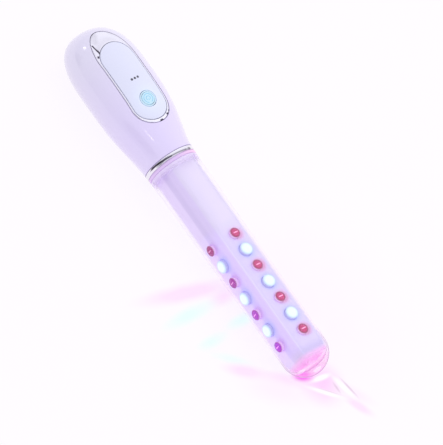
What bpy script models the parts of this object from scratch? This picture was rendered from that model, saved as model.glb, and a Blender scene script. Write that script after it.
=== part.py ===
"""A laser therapy wand: a white handle with a lit button, and a clear tube over a core of coloured lights.

The wand lies on its belly, with z = 0 on the table. +X runs along the tube to its tip, and +Z is up, where
the panel is. Every piece hangs on one empty at the neck, on the tube's axis, and the sizes below are counted
from there.
"""

import math

import bmesh
import bpy
from mathutils import Matrix, Vector

# Driving dimensions, in metres

cell_length = 0.0495
cell_radius = 0.0092
tube_reach = 0.1505
neck_radius = 0.01624
handle_half_width = 0.02315
handle_top = 0.0223
gap = 0.0003

# The neck: the bore's wall, the chrome ring, the seal and the bulkhead behind the bore

neck_wall = 0.00094
bore_radius = neck_radius - neck_wall
ring_stand = 0.00006
ring_radius = neck_radius + ring_stand
ring_front_x = 0.0005
ring_width = 0.0027
ring_bevel = 0.0004
seal_step = 0.0002
seal_radius = ring_radius - seal_step
seal_width = 0.0018
bulkhead_front_x = -0.0163
bulkhead_wall = 0.0027
bulkhead_hole_radius = 0.0050
cavity_front_x = bulkhead_front_x - bulkhead_wall
flange_thickness = 0.0020
o_ring_thickness = 0.0013
o_ring_side_gap = 0.00035

# The handle is as long as the cell, with room in front for its cradle and behind it for the charge socket

cell_front_room = 0.0055
socket_room = 0.0160
rear_room = 0.0050
cell_front_x = cavity_front_x - cell_front_room
cell_rear_x = cell_front_x - cell_length
shelf_rear_x = cell_rear_x - socket_room
handle_length = rear_room - shelf_rear_x

# The handle's shape: how it swells from the neck and closes at the rear, and the flat that it rests on

widest_from_rear = 0.0378
widest_x = widest_from_rear - handle_length
widest_height = 0.0033
swell_power = 1.6
top_power = 2.5
side_power = 3.0
end_power = 2.5
land_depth = ring_radius
land_cut = 0.0006
belly_depth = land_depth + land_cut
shell_wall = 0.0028
seam_height = -0.0095

# The panel and its chrome frame, seen from above

panel_radius = 0.0110
panel_end_from_rear = 0.0180
panel_rear_x = panel_end_from_rear + panel_radius - handle_length
panel_front_end_x = -0.0230
panel_front_x = panel_front_end_x - panel_radius
bezel_width = 0.0016
bezel_half_width = panel_radius + bezel_width
bezel_front_width = 0.0025
bezel_front_reach = panel_radius + bezel_front_width
crescent_width = 0.0110
bezel_rear_reach = panel_radius + crescent_width
panel_inset = 0.0001
panel_thickness = 0.0009
gasket_thickness = 0.0003
ledge_width = 0.0016
scoop_depth = 0.0008
scoop_half_width = 0.0100
scoop_half_length = 0.0062

# The cell's height over the floor, and the cradle round it

cell_floor_room = 0.0015
cell_height = cell_radius + cell_floor_room + shell_wall - belly_depth
cell_nub_radius = 0.0028
cell_nub_length = 0.0006
cradle_half_width = 0.0080
cradle_wall = 0.0017
cradle_wall_top = 0
cradle_floor_room = 0.0005
cradle_floor = shell_wall + cradle_floor_room - belly_depth
shelf_half_width = 0.0055
shelf_thickness = 0.0015

# The control board over the cell, and its screws

board_clearance = 0.0026
board_thickness = 0.0016
board_bottom = cell_height + cell_radius + board_clearance
board_top = board_bottom + board_thickness
board_from_rear = 0.0150
board_front_gap = 0.0010
board_side_gap = 0.0029
board_rear_x = board_from_rear - handle_length
board_front_x = cavity_front_x - board_front_gap
board_end_margin = 0.0025
boss_radius = 0.0022
screw_shank_radius = 0.0008
screw_head_radius = 0.0016
screw_head_height = 0.0012
screw_depth = 0.0042
chip_side = 0.0070
chip_height = 0.0011
chip_from_rear = 0.0240
chip_x = board_rear_x + chip_from_rear

# The button and what lies under it

button_setback = 0.0019
button_x = panel_front_x - button_setback
button_radius = 0.0039
button_cap_height = 0.0016
button_stem_radius = 0.0016
light_ring_width = 0.00075
light_flange_width = 0.00125
light_flange_height = 0.0020
switch_side = 0.0062
switch_height = 0.0035
plunger_radius = 0.00175
plunger_height = 0.0025
plunger_rise = 0.0015
button_travel = 0.0005

# The charge socket and the cover over it

socket_width = 0.0089
socket_height = 0.0032
socket_length = 0.0073
socket_wall = 0.0004
port_height = -0.0036
cover_half_width = 0.0066
cover_half_height = 0.0036
cover_thickness = 0.0012
cover_ledge = 0.0012

# The clear tube: a little wider at the neck than at the tip, where the wall is thickest

tube_neck_step = 0.0001
tube_neck_radius = seal_radius - tube_neck_step
tube_taper = 0.00145
tube_tip_radius = tube_neck_radius - tube_taper
spigot_wall = 0.0010
tube_bore_neck_radius = bore_radius - gap - spigot_wall
tube_side_wall = 0.00075
tube_bore_tip_radius = tube_tip_radius - tube_side_wall
dome_depth = 0.0145
dome_start_x = tube_reach - dome_depth
tip_wall = 0.0042
bore_end_x = tube_reach - tip_wall
bore_dome_depth = 0.0087
bore_dome_start_x = bore_end_x - bore_dome_depth
shoulder_bevel = 0.0005

# The core, its boards and its emitters, placed from the tip. The core is turned a little from upright

core_turn = math.radians(-3.9)
emitter_clearance = 0.00025
emitter_reach = tube_bore_tip_radius - emitter_clearance
emitter_stand = 0.00255
core_half_side = emitter_reach - emitter_stand
core_corner_radius = 0.0048
core_wall = 0.0016
cap_tip_gap = 0.0043
cap_length = 0.0075
cap_end_x = bore_end_x - cap_tip_gap
core_front_x = cap_end_x - cap_length
cap_end_share = 0.94
cap_round = 0.0024
row_count = 4
emitter_count = 7
emitter_pitch = 0.0115
last_emitter_setback = 0.0083
first_emitter_x = core_front_x - last_emitter_setback - (emitter_count - 1) * emitter_pitch
red_radius = 0.0030
red_rim = 0.0020
red_shoulder = core_half_side + red_rim
blue_radius = 0.0039
blue_rim = 0.0019
blue_shoulder = core_half_side + blue_rim
strip_thickness = 0.0010
strip_corner_room = 0.0025
strip_rear_x = 0.0193
strip_front_x = core_front_x - gap
coupling_slack = 0.0004
coupling_half_side = core_half_side - core_wall - coupling_slack
coupling_front_x = 0.0040
wire_hole_radius = 0.0024

# The vibration motor

motor_setback = 0.0395
motor_rear_x = core_front_x - motor_setback
motor_length = 0.0180
motor_radius = 0.0040
motor_bore_depth = 0.0040
shaft_radius = 0.00075
shaft_length = 0.0065
weight_radius = 0.0034
weight_length = 0.0050
sleeve_setback = 0.0020
sleeve_rear_x = motor_rear_x + sleeve_setback
sleeve_length = 0.0140

# The wires from the board to the boards in the core

wire_radius = 0.0009
wire_side_step = 0.0040
wire_board_reach = 0.0100
wire_start_x = board_front_x - wire_board_reach
wire_turn_gap = 0.0016
wire_turn_x = cavity_front_x - wire_turn_gap
wire_lift_x = 0.0150

# Overrun of every cutter past the wall that it cuts, and how near two points are made one
overrun = 0.0040
merge_distance = gap / 100

# How finely round shapes are divided: the handle and its cavity, then turned pieces from large to small
form_sides = 44
form_rings = 22
cavity_sides = 28
cavity_rings = 14
turn_sides = 48
button_sides = 32
motor_sides = 24
small_sides = 12
outline_arc_points = 14
corner_points = 6
dome_points = 9
emitter_dome_points = 3
cap_round_steps = 3
o_ring_points = 6
wire_bends = 4
halvings = 30
smooth_angle = math.radians(38)

# Rotation that lays a piece's own Z along the wand's +X, its X along +Y and its Y along +Z
along_wand = (math.pi / 2, 0, math.pi / 2)


def clear_scene():
    for obj in list(bpy.data.objects):
        bpy.data.objects.remove(obj)


def new_collection(name):
    collection = bpy.data.collections.new(name)
    bpy.context.scene.collection.children.link(collection)
    return collection


def finish(name, colour, roughness, metallic=0, transmission=0):
    material = bpy.data.materials.new(name)
    material.use_nodes = True
    shader = material.node_tree.nodes["Principled BSDF"]
    shader.inputs["Base Color"].default_value = (*colour, 1)
    shader.inputs["Roughness"].default_value = roughness
    shader.inputs["Metallic"].default_value = metallic
    shader.inputs["Transmission Weight"].default_value = transmission
    return material


def smooth(mesh):
    mesh.shade_smooth()
    mesh.set_sharp_from_angle(angle=smooth_angle)


def add(name, mesh, material, at=(0, 0, 0), turned_to=(0, 0, 0), parent=None):
    """A piece in the wand's collection, placed from the neck."""
    obj = bpy.data.objects.new(name, mesh)
    obj.location = at
    obj.rotation_euler = turned_to
    obj.parent = parent or neck
    if material is None:
        obj.hide_render = True
        obj.display_type = "WIRE"
        cutters.objects.link(obj)
    else:
        mesh.materials.clear()
        mesh.materials.append(material)
        smooth(mesh)
        wand.objects.link(obj)
    return obj


def cutter(name, mesh, at=(0, 0, 0), turned_to=(0, 0, 0), parent=None):
    return add(name, mesh, None, at, turned_to, parent)


def boolean(obj, operation, *others):
    for other in others:
        modifier = obj.modifiers.new(f"{operation.lower()} {other.name}", "BOOLEAN")
        modifier.operation = operation
        modifier.solver = "EXACT"
        modifier.object = other
    return obj


def evaluated_mesh(data):
    """The mesh of a curve, or of an object with modifiers, welded and with its faces pointing out."""
    if isinstance(data, bpy.types.Object):
        source = data
    else:
        source = bpy.data.objects.new("made once", data)
    bpy.context.scene.collection.objects.link(source)
    graph = bpy.context.evaluated_depsgraph_get()
    mesh = bpy.data.meshes.new_from_object(source.evaluated_get(graph))
    bpy.data.objects.remove(source)
    bm = bmesh.new()
    bm.from_mesh(mesh)
    bmesh.ops.remove_doubles(bm, verts=bm.verts, dist=merge_distance)
    bmesh.ops.recalc_face_normals(bm, faces=bm.faces)
    bm.to_mesh(mesh)
    bm.free()
    return mesh


def block(low, high):
    """A box from its low corner to its high one."""
    low, high = Vector(low), Vector(high)
    mesh = bpy.data.meshes.new("block")
    bm = bmesh.new()
    bmesh.ops.create_cube(bm, size=1)
    bmesh.ops.scale(bm, vec=high - low, verts=bm.verts)
    bmesh.ops.translate(bm, vec=(high + low) / 2, verts=bm.verts)
    bm.to_mesh(mesh)
    bm.free()
    return mesh


def rod(radius, low, high, sides):
    """A cylinder along Z between two heights."""
    mesh = bpy.data.meshes.new("rod")
    bm = bmesh.new()
    depth = high - low
    bmesh.ops.create_cone(bm, cap_ends=True, segments=sides, radius1=radius, radius2=radius, depth=depth)
    bmesh.ops.translate(bm, vec=(0, 0, (high + low) / 2), verts=bm.verts)
    bm.to_mesh(mesh)
    bm.free()
    return mesh


def turned(profile, sides, closed=True):
    """A profile of (radius, height) points turned about Z. An open one starts and ends on the axis."""
    mesh = bpy.data.meshes.new("profile")
    count = len(profile)
    edges = [(i, (i + 1) % count) for i in range(count if closed else count - 1)]
    mesh.from_pydata([(radius, 0, height) for radius, height in profile], edges, [])
    obj = bpy.data.objects.new("profile", mesh)
    screw = obj.modifiers.new("turn", "SCREW")
    screw.steps = screw.render_steps = sides
    screw.use_merge_vertices = True
    screw.merge_threshold = merge_distance
    return evaluated_mesh(obj)


def flat_solid(outlines, depth):
    """A flat outline in X and Y, the others inside the first as holes, given a thickness about z = 0."""
    curve = bpy.data.curves.new("outline", "CURVE")
    curve.dimensions = "2D"
    curve.fill_mode = "BOTH"
    curve.extrude = depth / 2
    for outline in outlines:
        spline = curve.splines.new("POLY")
        spline.points.add(len(outline) - 1)
        spline.use_cyclic_u = True
        for point, (x, y) in zip(spline.points, outline):
            point.co = (x, y, 0, 1)
    return evaluated_mesh(curve)


def arc(centre, radii, start, end, count):
    """Points of an ellipse's arc, its angles in degrees."""
    points = []
    for i in range(count):
        angle = math.radians(start + (end - start) * i / (count - 1))
        points.append((centre[0] + radii[0] * math.cos(angle), centre[1] + radii[1] * math.sin(angle)))
    return points


def pill(rear_reach, front_reach, half_width):
    """The outline of the panel and its frame: half an ellipse about each of two centres."""
    front = arc((panel_front_x, 0), (front_reach, half_width), -90, 90, outline_arc_points)
    rear = arc((panel_rear_x, 0), (rear_reach, half_width), 90, 270, outline_arc_points)
    return front + rear


def oval(half_width, half_height):
    """An outline with round ends, wide along X."""
    straight = half_width - half_height
    right = arc((straight, 0), (half_height, half_height), -90, 90, outline_arc_points // 2)
    left = arc((-straight, 0), (half_height, half_height), 90, 270, outline_arc_points // 2)
    return right + left


def rounded_square(half_side, radius):
    corner = half_side - radius
    points = []
    centres = [(corner, corner), (-corner, corner), (-corner, -corner), (corner, -corner)]
    for turn, (x, y) in enumerate(centres):
        points += arc((x, y), (radius, radius), 90 * turn, 90 * turn + 90, corner_points)
    return points


# The handle's section changes along the wand, and every piece that follows its skin uses the same rule

def section(x, inset):
    """The handle at x: half width, height of the widest line, top and bottom, all moved in by inset."""
    if x > widest_x:
        swell = (1 + math.cos(math.pi * (1 - x / widest_x) ** swell_power)) / 2
        half_width = neck_radius + (handle_half_width - neck_radius) * swell - inset
        top = neck_radius + (handle_top - neck_radius) * swell - inset
        bottom = inset - neck_radius - (belly_depth - neck_radius) * swell
        return half_width, widest_height * swell, top, bottom
    along = min(1, (widest_x - x) / (handle_length + widest_x - inset))
    side_share = (1 - along**side_power) ** (1 / end_power)
    top_share = (1 - along**top_power) ** (1 / end_power)
    half_width = (handle_half_width - inset) * side_share
    top = (handle_top - inset) * top_share
    return half_width, widest_height * top_share, top, (inset - belly_depth) * side_share


def handle_form(inset, front_x, sides=form_sides, rings=form_rings):
    """The handle's solid shape: a sphere whose rings are moved to the sections, with a flat front end."""
    mesh = bpy.data.meshes.new("handle form")
    bm = bmesh.new()
    bmesh.ops.create_uvsphere(bm, u_segments=sides, v_segments=rings, radius=1)
    half = rings / 2
    rear_reach = handle_length + widest_x - inset
    for vert in bm.verts:
        ring = math.acos(max(-1, min(1, vert.co.z))) * rings / math.pi
        around = math.atan2(vert.co.y, vert.co.x)
        if ring <= half:
            x = widest_x + (front_x - widest_x) * (half - max(ring, 1)) / (half - 1)
        else:
            x = widest_x - rear_reach * math.sin((ring / half - 1) * math.pi / 2)
        half_width, widest, top, bottom = section(x, inset)
        if ring < 0.5 or ring > rings - 0.5:
            vert.co = (x, 0, widest)
            continue
        rise = top - widest if math.sin(around) > 0 else widest - bottom
        vert.co = (x, half_width * math.cos(around), widest + rise * math.sin(around))
    bm.to_mesh(mesh)
    bm.free()
    return mesh


def skin_height(x, inset):
    return section(x, inset)[2]


def half_width_at(x, height, inset):
    """How far the upper half reaches to the side at x and this height."""
    half_width, widest, top, bottom = section(x, inset)
    return half_width * math.sqrt(1 - ((height - widest) / (top - widest)) ** 2)


def rear_reach_at(height, inset):
    """Where the rear end's lower half lies at this height on the middle plane, found by halving."""
    low, high = widest_x, inset - handle_length
    for _ in range(halvings):
        middle = (low + high) / 2
        if section(middle, inset)[3] < height:
            low = middle
        else:
            high = middle
    return low


clear_scene()
wand = new_collection("laser_therapy_wand")
cutters = new_collection("cutters")

neck = bpy.data.objects.new("neck", None)
neck.location = ((handle_length - tube_reach) / 2, 0, land_depth)
wand.objects.link(neck)
core_frame = bpy.data.objects.new("core frame", None)
core_frame.rotation_euler = (core_turn, 0, 0)
core_frame.parent = neck
wand.objects.link(core_frame)

white_gloss = finish("handle white", (0.86, 0.84, 0.93), 0.16)
chrome = finish("chrome", (0.86, 0.85, 0.90), 0.06, 1)
panel_blue = finish("panel ice blue", (0.80, 0.87, 0.98), 0.10)
cyan_light = finish("button light", (0.25, 0.80, 0.95), 0.30)
button_blue = finish("button", (0.55, 0.85, 0.97), 0.22)
dark_rubber = finish("dark rubber", (0.05, 0.05, 0.06), 0.70)
pink_silicone = finish("pink silicone", (0.95, 0.45, 0.80), 0.35, 0, 0.5)
clear_plastic = finish("clear plastic", (0.97, 0.95, 1.0), 0.04, 0, 1)
core_white = finish("core white", (0.80, 0.76, 0.95), 0.40)
board_green = finish("board green", (0.02, 0.18, 0.08), 0.45)
board_white = finish("board white", (0.85, 0.86, 0.88), 0.45)
black_plastic = finish("black plastic", (0.03, 0.03, 0.03), 0.45)
grey_plastic = finish("grey plastic", (0.35, 0.36, 0.38), 0.50)
steel = finish("steel", (0.62, 0.62, 0.64), 0.25, 1)
cell_wrap = finish("cell wrap", (0.10, 0.25, 0.60), 0.35)
red_lens = finish("red lens", (0.45, 0.03, 0.10), 0.15)
blue_lens = finish("blue lens", (0.75, 0.93, 1.0), 0.15)
wire_grey = finish("wire sleeve", (0.20, 0.20, 0.22), 0.55)

# Insets of the layers under the handle's skin, from the panel's face to the floor of its recess

panel_bottom_inset = panel_inset + panel_thickness
gasket_top_inset = panel_bottom_inset + gap
gasket_bottom_inset = gasket_top_inset + gasket_thickness
recess_inset = gasket_bottom_inset + gap
handle_front_x = ring_front_x - ring_width - gap

skin = cutter("form skin", handle_form(0, handle_front_x))
panel_face = cutter("form panel face", handle_form(panel_inset, handle_front_x))
panel_back = cutter("form panel back", handle_form(panel_bottom_inset, handle_front_x))
gasket_face = cutter("form gasket face", handle_form(gasket_top_inset, handle_front_x))
gasket_back = cutter("form gasket back", handle_form(gasket_bottom_inset, handle_front_x))
recess_floor = cutter("form recess floor", handle_form(recess_inset, handle_front_x))
cavity = cutter("form cavity", handle_form(shell_wall, cavity_front_x, cavity_sides, cavity_rings))
cavity_fit = cutter(
    "form cavity fit", handle_form(shell_wall + gap, cavity_front_x - gap, cavity_sides, cavity_rings)
)

tall = 2 * handle_top


def standing(name, outlines):
    """A cutter that stands on the wand's axis and reaches past the handle's top."""
    return cutter(name, flat_solid(outlines, tall), (0, 0, tall / 2))


bezel_outline = pill(bezel_rear_reach, bezel_front_reach, bezel_half_width)
panel_outline = pill(panel_radius, panel_radius, panel_radius)
opening_radius = panel_radius - ledge_width
opening_outline = pill(opening_radius, opening_radius, opening_radius)


def inside_by(outline_reach, clearance):
    return [reach - clearance for reach in outline_reach]


# The handle: one form, hollowed, bored at the neck, and parted along a seam under the widest line

recess = boolean(standing("recess", [bezel_outline]), "DIFFERENCE", recess_floor)
opening = standing("panel opening", [opening_outline])
bore = cutter("neck bore", rod(bore_radius, bulkhead_front_x, overrun, turn_sides), turned_to=along_wand)
bulkhead_hole = cutter(
    "bulkhead hole",
    rod(bulkhead_hole_radius, cavity_front_x - overrun, bulkhead_front_x + overrun, turn_sides // 2),
    turned_to=along_wand,
)


def half_space(name, low_z, high_z):
    """A cutter that takes all of the handle between two heights."""
    side = handle_half_width + overrun
    return cutter(name, block((-handle_length - overrun, -side, low_z), (overrun, side, high_z)))


below_seam = half_space("below seam", -belly_depth - overrun, seam_height + gap / 2)
above_seam = half_space("above seam", seam_height - gap / 2, handle_top + overrun)
below_land = half_space("below land", -belly_depth - overrun, -land_depth)

port_rear_x = -handle_length - overrun
port_front_x = shelf_rear_x + overrun


def facing_rear(name, half_width, half_height):
    """A cutter through the rear wall, behind the charge socket."""
    mesh = flat_solid([oval(half_width, half_height)], port_front_x - port_rear_x)
    return cutter(name, mesh, ((port_front_x + port_rear_x) / 2, 0, port_height), along_wand)


cover_recess_inset = cover_thickness + gap
cover_seat = cutter("form cover seat", handle_form(cover_recess_inset, handle_front_x))
cover_back = cutter("form cover back", handle_form(cover_thickness, handle_front_x))
cover_recess = boolean(
    facing_rear("cover recess", cover_half_width + gap, cover_half_height + gap), "DIFFERENCE", cover_seat
)
port_hole = facing_rear("port hole", cover_half_width - cover_ledge, cover_half_height - cover_ledge)

screw_places = {"front": board_front_x - board_end_margin, "rear": board_rear_x + board_end_margin}
board_screw_xs = list(screw_places.values())


def handle_half(name, *cuts):
    obj = add(name, handle_form(0, handle_front_x), white_gloss)
    return boolean(obj, "DIFFERENCE", cavity, bore, bulkhead_hole, *cuts)


boss_root = cutter("form boss root", handle_form((recess_inset + shell_wall) / 2, handle_front_x))
handle_shell = handle_half("handle_shell", recess, opening, cover_recess, port_hole, below_seam)
for x in board_screw_xs:
    boss = cutter("boss", rod(boss_radius, board_top + gap, tall, small_sides), (x, 0, 0))
    boolean(boss, "INTERSECT", boss_root)
    hole_top = board_top + screw_depth + gap
    hole_form = rod(screw_shank_radius + gap, board_top - overrun, hole_top, small_sides)
    boss_hole = cutter("boss hole", hole_form, (x, 0, 0))
    boolean(handle_shell, "UNION", boss)
    boolean(handle_shell, "DIFFERENCE", boss_hole)

belly_cover = handle_half("belly_cover", above_seam, below_land)

# The chrome frame, with a shallow scoop behind the panel

bezel_reaches = (bezel_rear_reach, bezel_front_reach, bezel_half_width)
bezel_fit = pill(*inside_by(bezel_reaches, gap))
panel_clear = pill(*[panel_radius + gap] * 3)
bezel = add("bezel", flat_solid([bezel_fit, panel_clear], tall), chrome, (0, 0, tall / 2))
boolean(bezel, "INTERSECT", skin)
boolean(bezel, "DIFFERENCE", gasket_back)

scoop_x = (panel_rear_x - panel_radius + panel_rear_x - bezel_rear_reach) / 2
scoop_climb = skin_height(scoop_x + scoop_half_length, 0) - skin_height(scoop_x - scoop_half_length, 0)
scoop_tilt = math.atan2(scoop_climb, 2 * scoop_half_length)


def scoop_form():
    """A flattened ball whose underside dips into the crescent."""
    mesh = bpy.data.meshes.new("scoop")
    bm = bmesh.new()
    bmesh.ops.create_uvsphere(bm, u_segments=form_sides // 2, v_segments=form_rings // 2, radius=1)
    size = (scoop_half_length, scoop_half_width, 2 * scoop_depth)
    bmesh.ops.scale(bm, vec=size, verts=bm.verts)
    bm.to_mesh(mesh)
    bm.free()
    return mesh


scoop_place = (scoop_x, 0, skin_height(scoop_x, 0) + scoop_depth)
scoop = cutter("scoop", scoop_form(), scoop_place, (0, -scoop_tilt, 0))
boolean(bezel, "DIFFERENCE", scoop)

# The panel, and the gasket that it presses on the ledge

button_hole = cutter(
    "button hole",
    rod(button_radius + gap + light_ring_width + gap, 0, tall, turn_sides // 2),
    (button_x, 0, 0),
)
panel_plate = add("panel_plate", flat_solid([panel_outline], tall), panel_blue, (0, 0, tall / 2))
boolean(panel_plate, "INTERSECT", panel_face)
boolean(panel_plate, "DIFFERENCE", panel_back, button_hole)

gasket_outline = pill(*[panel_radius - gap] * 3)
gasket_form = flat_solid([gasket_outline, opening_outline], tall)
panel_gasket = add("panel_gasket", gasket_form, dark_rubber, (0, 0, tall / 2))
boolean(panel_gasket, "INTERSECT", gasket_face)
boolean(panel_gasket, "DIFFERENCE", gasket_back)

# The button: a cap that follows the skin, on a stem that reaches the switch

switch_bottom = board_top + gap
switch_top = switch_bottom + switch_height
plunger_top = switch_top + plunger_rise
plunger_bottom = plunger_top - plunger_height
stem_bottom = plunger_top + gap
button_top = skin_height(button_x, 0)
light_flange_bottom = skin_height(button_x, gasket_top_inset) - light_flange_height
cap_bottom = button_top - button_cap_height
cap_profile = [
    (0, tall),
    (button_radius, tall),
    (button_radius, cap_bottom),
    (button_stem_radius, cap_bottom),
    (button_stem_radius, stem_bottom),
    (0, stem_bottom),
]
cap_form = turned(cap_profile, button_sides, closed=False)
power_button = add("power_button", cap_form, button_blue, (button_x, 0, 0))
boolean(power_button, "INTERSECT", skin)

light_inner = button_radius + gap
light_outer = light_inner + light_ring_width
light_flange_radius = light_outer + light_flange_width
light_tube_profile = [
    (light_inner, tall),
    (light_outer, tall),
    (light_outer, light_flange_bottom),
    (light_inner, light_flange_bottom),
]
light_tube = cutter("light tube", turned(light_tube_profile, button_sides), (button_x, 0, 0))
boolean(light_tube, "INTERSECT", panel_face)
light_flange_profile = [
    (light_inner + light_ring_width / 2, tall),
    (light_flange_radius, tall),
    (light_flange_radius, light_flange_bottom),
    (light_inner + light_ring_width / 2, light_flange_bottom),
]
light_flange = turned(light_flange_profile, button_sides)
button_light_ring = add("button_light_ring", light_flange, cyan_light, (button_x, 0, 0))
boolean(button_light_ring, "INTERSECT", gasket_face)
boolean(button_light_ring, "UNION", light_tube)

# The control board, hung from two bosses, with its switch and its controller

board_half_width = half_width_at(board_front_x, board_top, shell_wall) - board_side_gap
board_low = (board_rear_x, -board_half_width, board_bottom)
board_high = (board_front_x, board_half_width, board_top)
control_board = add("control_board", block(board_low, board_high), board_green)
for place, x in screw_places.items():
    hole = cutter("board hole", rod(screw_shank_radius + gap, 0, tall, small_sides), (x, 0, 0))
    boolean(control_board, "DIFFERENCE", hole)
    head_top = board_bottom - gap
    screw_profile = [
        (0, board_top + screw_depth),
        (screw_shank_radius, board_top + screw_depth),
        (screw_shank_radius, head_top),
        (screw_head_radius, head_top),
        (screw_head_radius, head_top - screw_head_height / 2),
        (screw_shank_radius, head_top - screw_head_height),
        (0, head_top - screw_head_height),
    ]
    add(f"board_screw_{place}", turned(screw_profile, small_sides, closed=False), steel, (x, 0, 0))

half_switch = switch_side / 2
tact_switch = add(
    "tact_switch",
    block((-half_switch, -half_switch, switch_bottom), (half_switch, half_switch, switch_top)),
    black_plastic,
    (button_x, 0, 0),
)
plunger_well_bottom = plunger_bottom - button_travel - gap
plunger_well = cutter(
    "plunger well",
    rod(plunger_radius + gap, plunger_well_bottom, switch_top + overrun, motor_sides),
    (button_x, 0, 0),
)
boolean(tact_switch, "DIFFERENCE", plunger_well)
plunger_form = rod(plunger_radius, plunger_bottom, plunger_top, motor_sides)
add("switch_plunger", plunger_form, grey_plastic, (button_x, 0, 0))

chip_low = (chip_x - chip_side / 2, -chip_side / 2, board_top + gap)
chip_high = (chip_x + chip_side / 2, chip_side / 2, board_top + gap + chip_height)
add("controller_chip", block(chip_low, chip_high), black_plastic)

# The cell, in a cradle that lies in the belly and carries the charge socket behind it

cell_profile = [
    (0, cell_length),
    (cell_nub_radius, cell_length),
    (cell_nub_radius, cell_length - cell_nub_length),
    (cell_radius - cell_nub_length, cell_length - cell_nub_length),
    (cell_radius, cell_length - 2 * cell_nub_length),
    (cell_radius, cell_nub_length),
    (cell_radius - cell_nub_length, 0),
    (0, 0),
]
cell_form = turned(cell_profile, button_sides, closed=False)
add("battery_cell", cell_form, cell_wrap, (cell_rear_x, 0, cell_height), along_wand)

cradle_rear_x = cell_rear_x - gap - cradle_wall
cradle_front_x = cell_front_x + gap + cradle_wall
cradle_low = (cradle_rear_x, -cradle_half_width, cradle_floor)
cradle_high = (cradle_front_x, cradle_half_width, cradle_wall_top)
battery_cradle = add("battery_cradle", block(cradle_low, cradle_high), grey_plastic)
cell_space = cutter(
    "cell space",
    rod(cell_radius + gap, cell_rear_x - gap, cell_front_x + gap, button_sides),
    (0, 0, cell_height),
    along_wand,
)
socket_bottom = port_height - socket_height / 2
shelf_top = socket_bottom - gap
shelf = cutter(
    "socket shelf",
    block(
        (shelf_rear_x, -shelf_half_width, shelf_top - shelf_thickness),
        (cradle_rear_x + cradle_wall / 2, shelf_half_width, shelf_top),
    ),
)
boolean(battery_cradle, "DIFFERENCE", cell_space)
boolean(battery_cradle, "UNION", shelf)
boolean(battery_cradle, "INTERSECT", cavity_fit)

socket_outer = oval(socket_width / 2, socket_height / 2)
charge_socket = add(
    "charge_socket",
    flat_solid([socket_outer], socket_length),
    steel,
    (shelf_rear_x + socket_length / 2, 0, port_height),
    along_wand,
)
socket_mouth = cutter(
    "socket mouth",
    flat_solid([oval(socket_width / 2 - socket_wall, socket_height / 2 - socket_wall)], socket_length),
    (shelf_rear_x + socket_length / 2 - socket_wall * 2, 0, port_height),
    along_wand,
)
boolean(charge_socket, "DIFFERENCE", socket_mouth)

# The cover over the socket: its hinge is on its lower edge, where the rear end meets it

cover_low = port_height - cover_half_height
hinge_x = rear_reach_at(cover_low, 0)
cover_hinge = bpy.data.objects.new("cover hinge", None)
cover_hinge.location = (hinge_x, 0, cover_low)
cover_hinge.parent = neck
wand.objects.link(cover_hinge)
cover_place = ((port_front_x + port_rear_x) / 2 - hinge_x, 0, port_height - cover_low)
port_cover = add(
    "port_cover",
    flat_solid([oval(cover_half_width, cover_half_height)], port_front_x - port_rear_x),
    white_gloss,
    cover_place,
    along_wand,
    cover_hinge,
)
boolean(port_cover, "INTERSECT", skin)
boolean(port_cover, "DIFFERENCE", cover_back)

# The neck: a coupling that holds the core, then the seals, the chrome ring and the tube's end in the bore

flange_rear_x = bulkhead_front_x + gap
flange_front_x = flange_rear_x + flange_thickness
tube_rear_x = flange_front_x + o_ring_thickness + 2 * o_ring_side_gap
neck_coupling = add(
    "neck_coupling",
    rod(bore_radius - gap, flange_rear_x, flange_front_x, turn_sides),
    core_white,
    turned_to=along_wand,
)
core_boss_rear_x = flange_rear_x + gap
core_boss_outline = rounded_square(coupling_half_side, core_corner_radius - core_wall)
core_boss = cutter(
    "core boss",
    flat_solid([core_boss_outline], coupling_front_x - core_boss_rear_x),
    ((coupling_front_x + core_boss_rear_x) / 2, 0, 0),
    along_wand,
    core_frame,
)
wire_hole = cutter(
    "wire hole",
    rod(wire_hole_radius, flange_rear_x - overrun, coupling_front_x + overrun, motor_sides),
    turned_to=along_wand,
)
boolean(neck_coupling, "UNION", core_boss)
boolean(neck_coupling, "DIFFERENCE", wire_hole)


def ring_profile(outer, rear_x, width):
    """A flat ring that fits the bore's radius, its outer edges bevelled."""
    return [
        (bore_radius, rear_x + width),
        (outer - ring_bevel, rear_x + width),
        (outer, rear_x + width - ring_bevel),
        (outer, rear_x + ring_bevel),
        (outer - ring_bevel, rear_x),
        (bore_radius, rear_x),
    ]


neck_ring_form = turned(ring_profile(ring_radius, ring_front_x - ring_width, ring_width), turn_sides)
add("neck_ring", neck_ring_form, chrome, turned_to=along_wand)
seal_rear_x = ring_front_x + gap
seal_form = turned(ring_profile(seal_radius, seal_rear_x, seal_width), turn_sides)
add("seal_ring", seal_form, pink_silicone, turned_to=along_wand)

core_rear_x = flange_front_x + gap
o_ring_x = (flange_front_x + tube_rear_x) / 2
o_ring_centre = bore_radius - gap - o_ring_thickness / 2
o_ring_radii = (o_ring_thickness / 2, o_ring_thickness / 2)
o_ring_last = 360 - 360 / o_ring_points
o_ring_section = arc((o_ring_centre, o_ring_x), o_ring_radii, 0, o_ring_last, o_ring_points)
add("o_ring", turned(o_ring_section, button_sides), dark_rubber, turned_to=along_wand)

# The clear tube: a spigot in the bore, a shoulder against the seal, a slight taper and a dome

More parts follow.
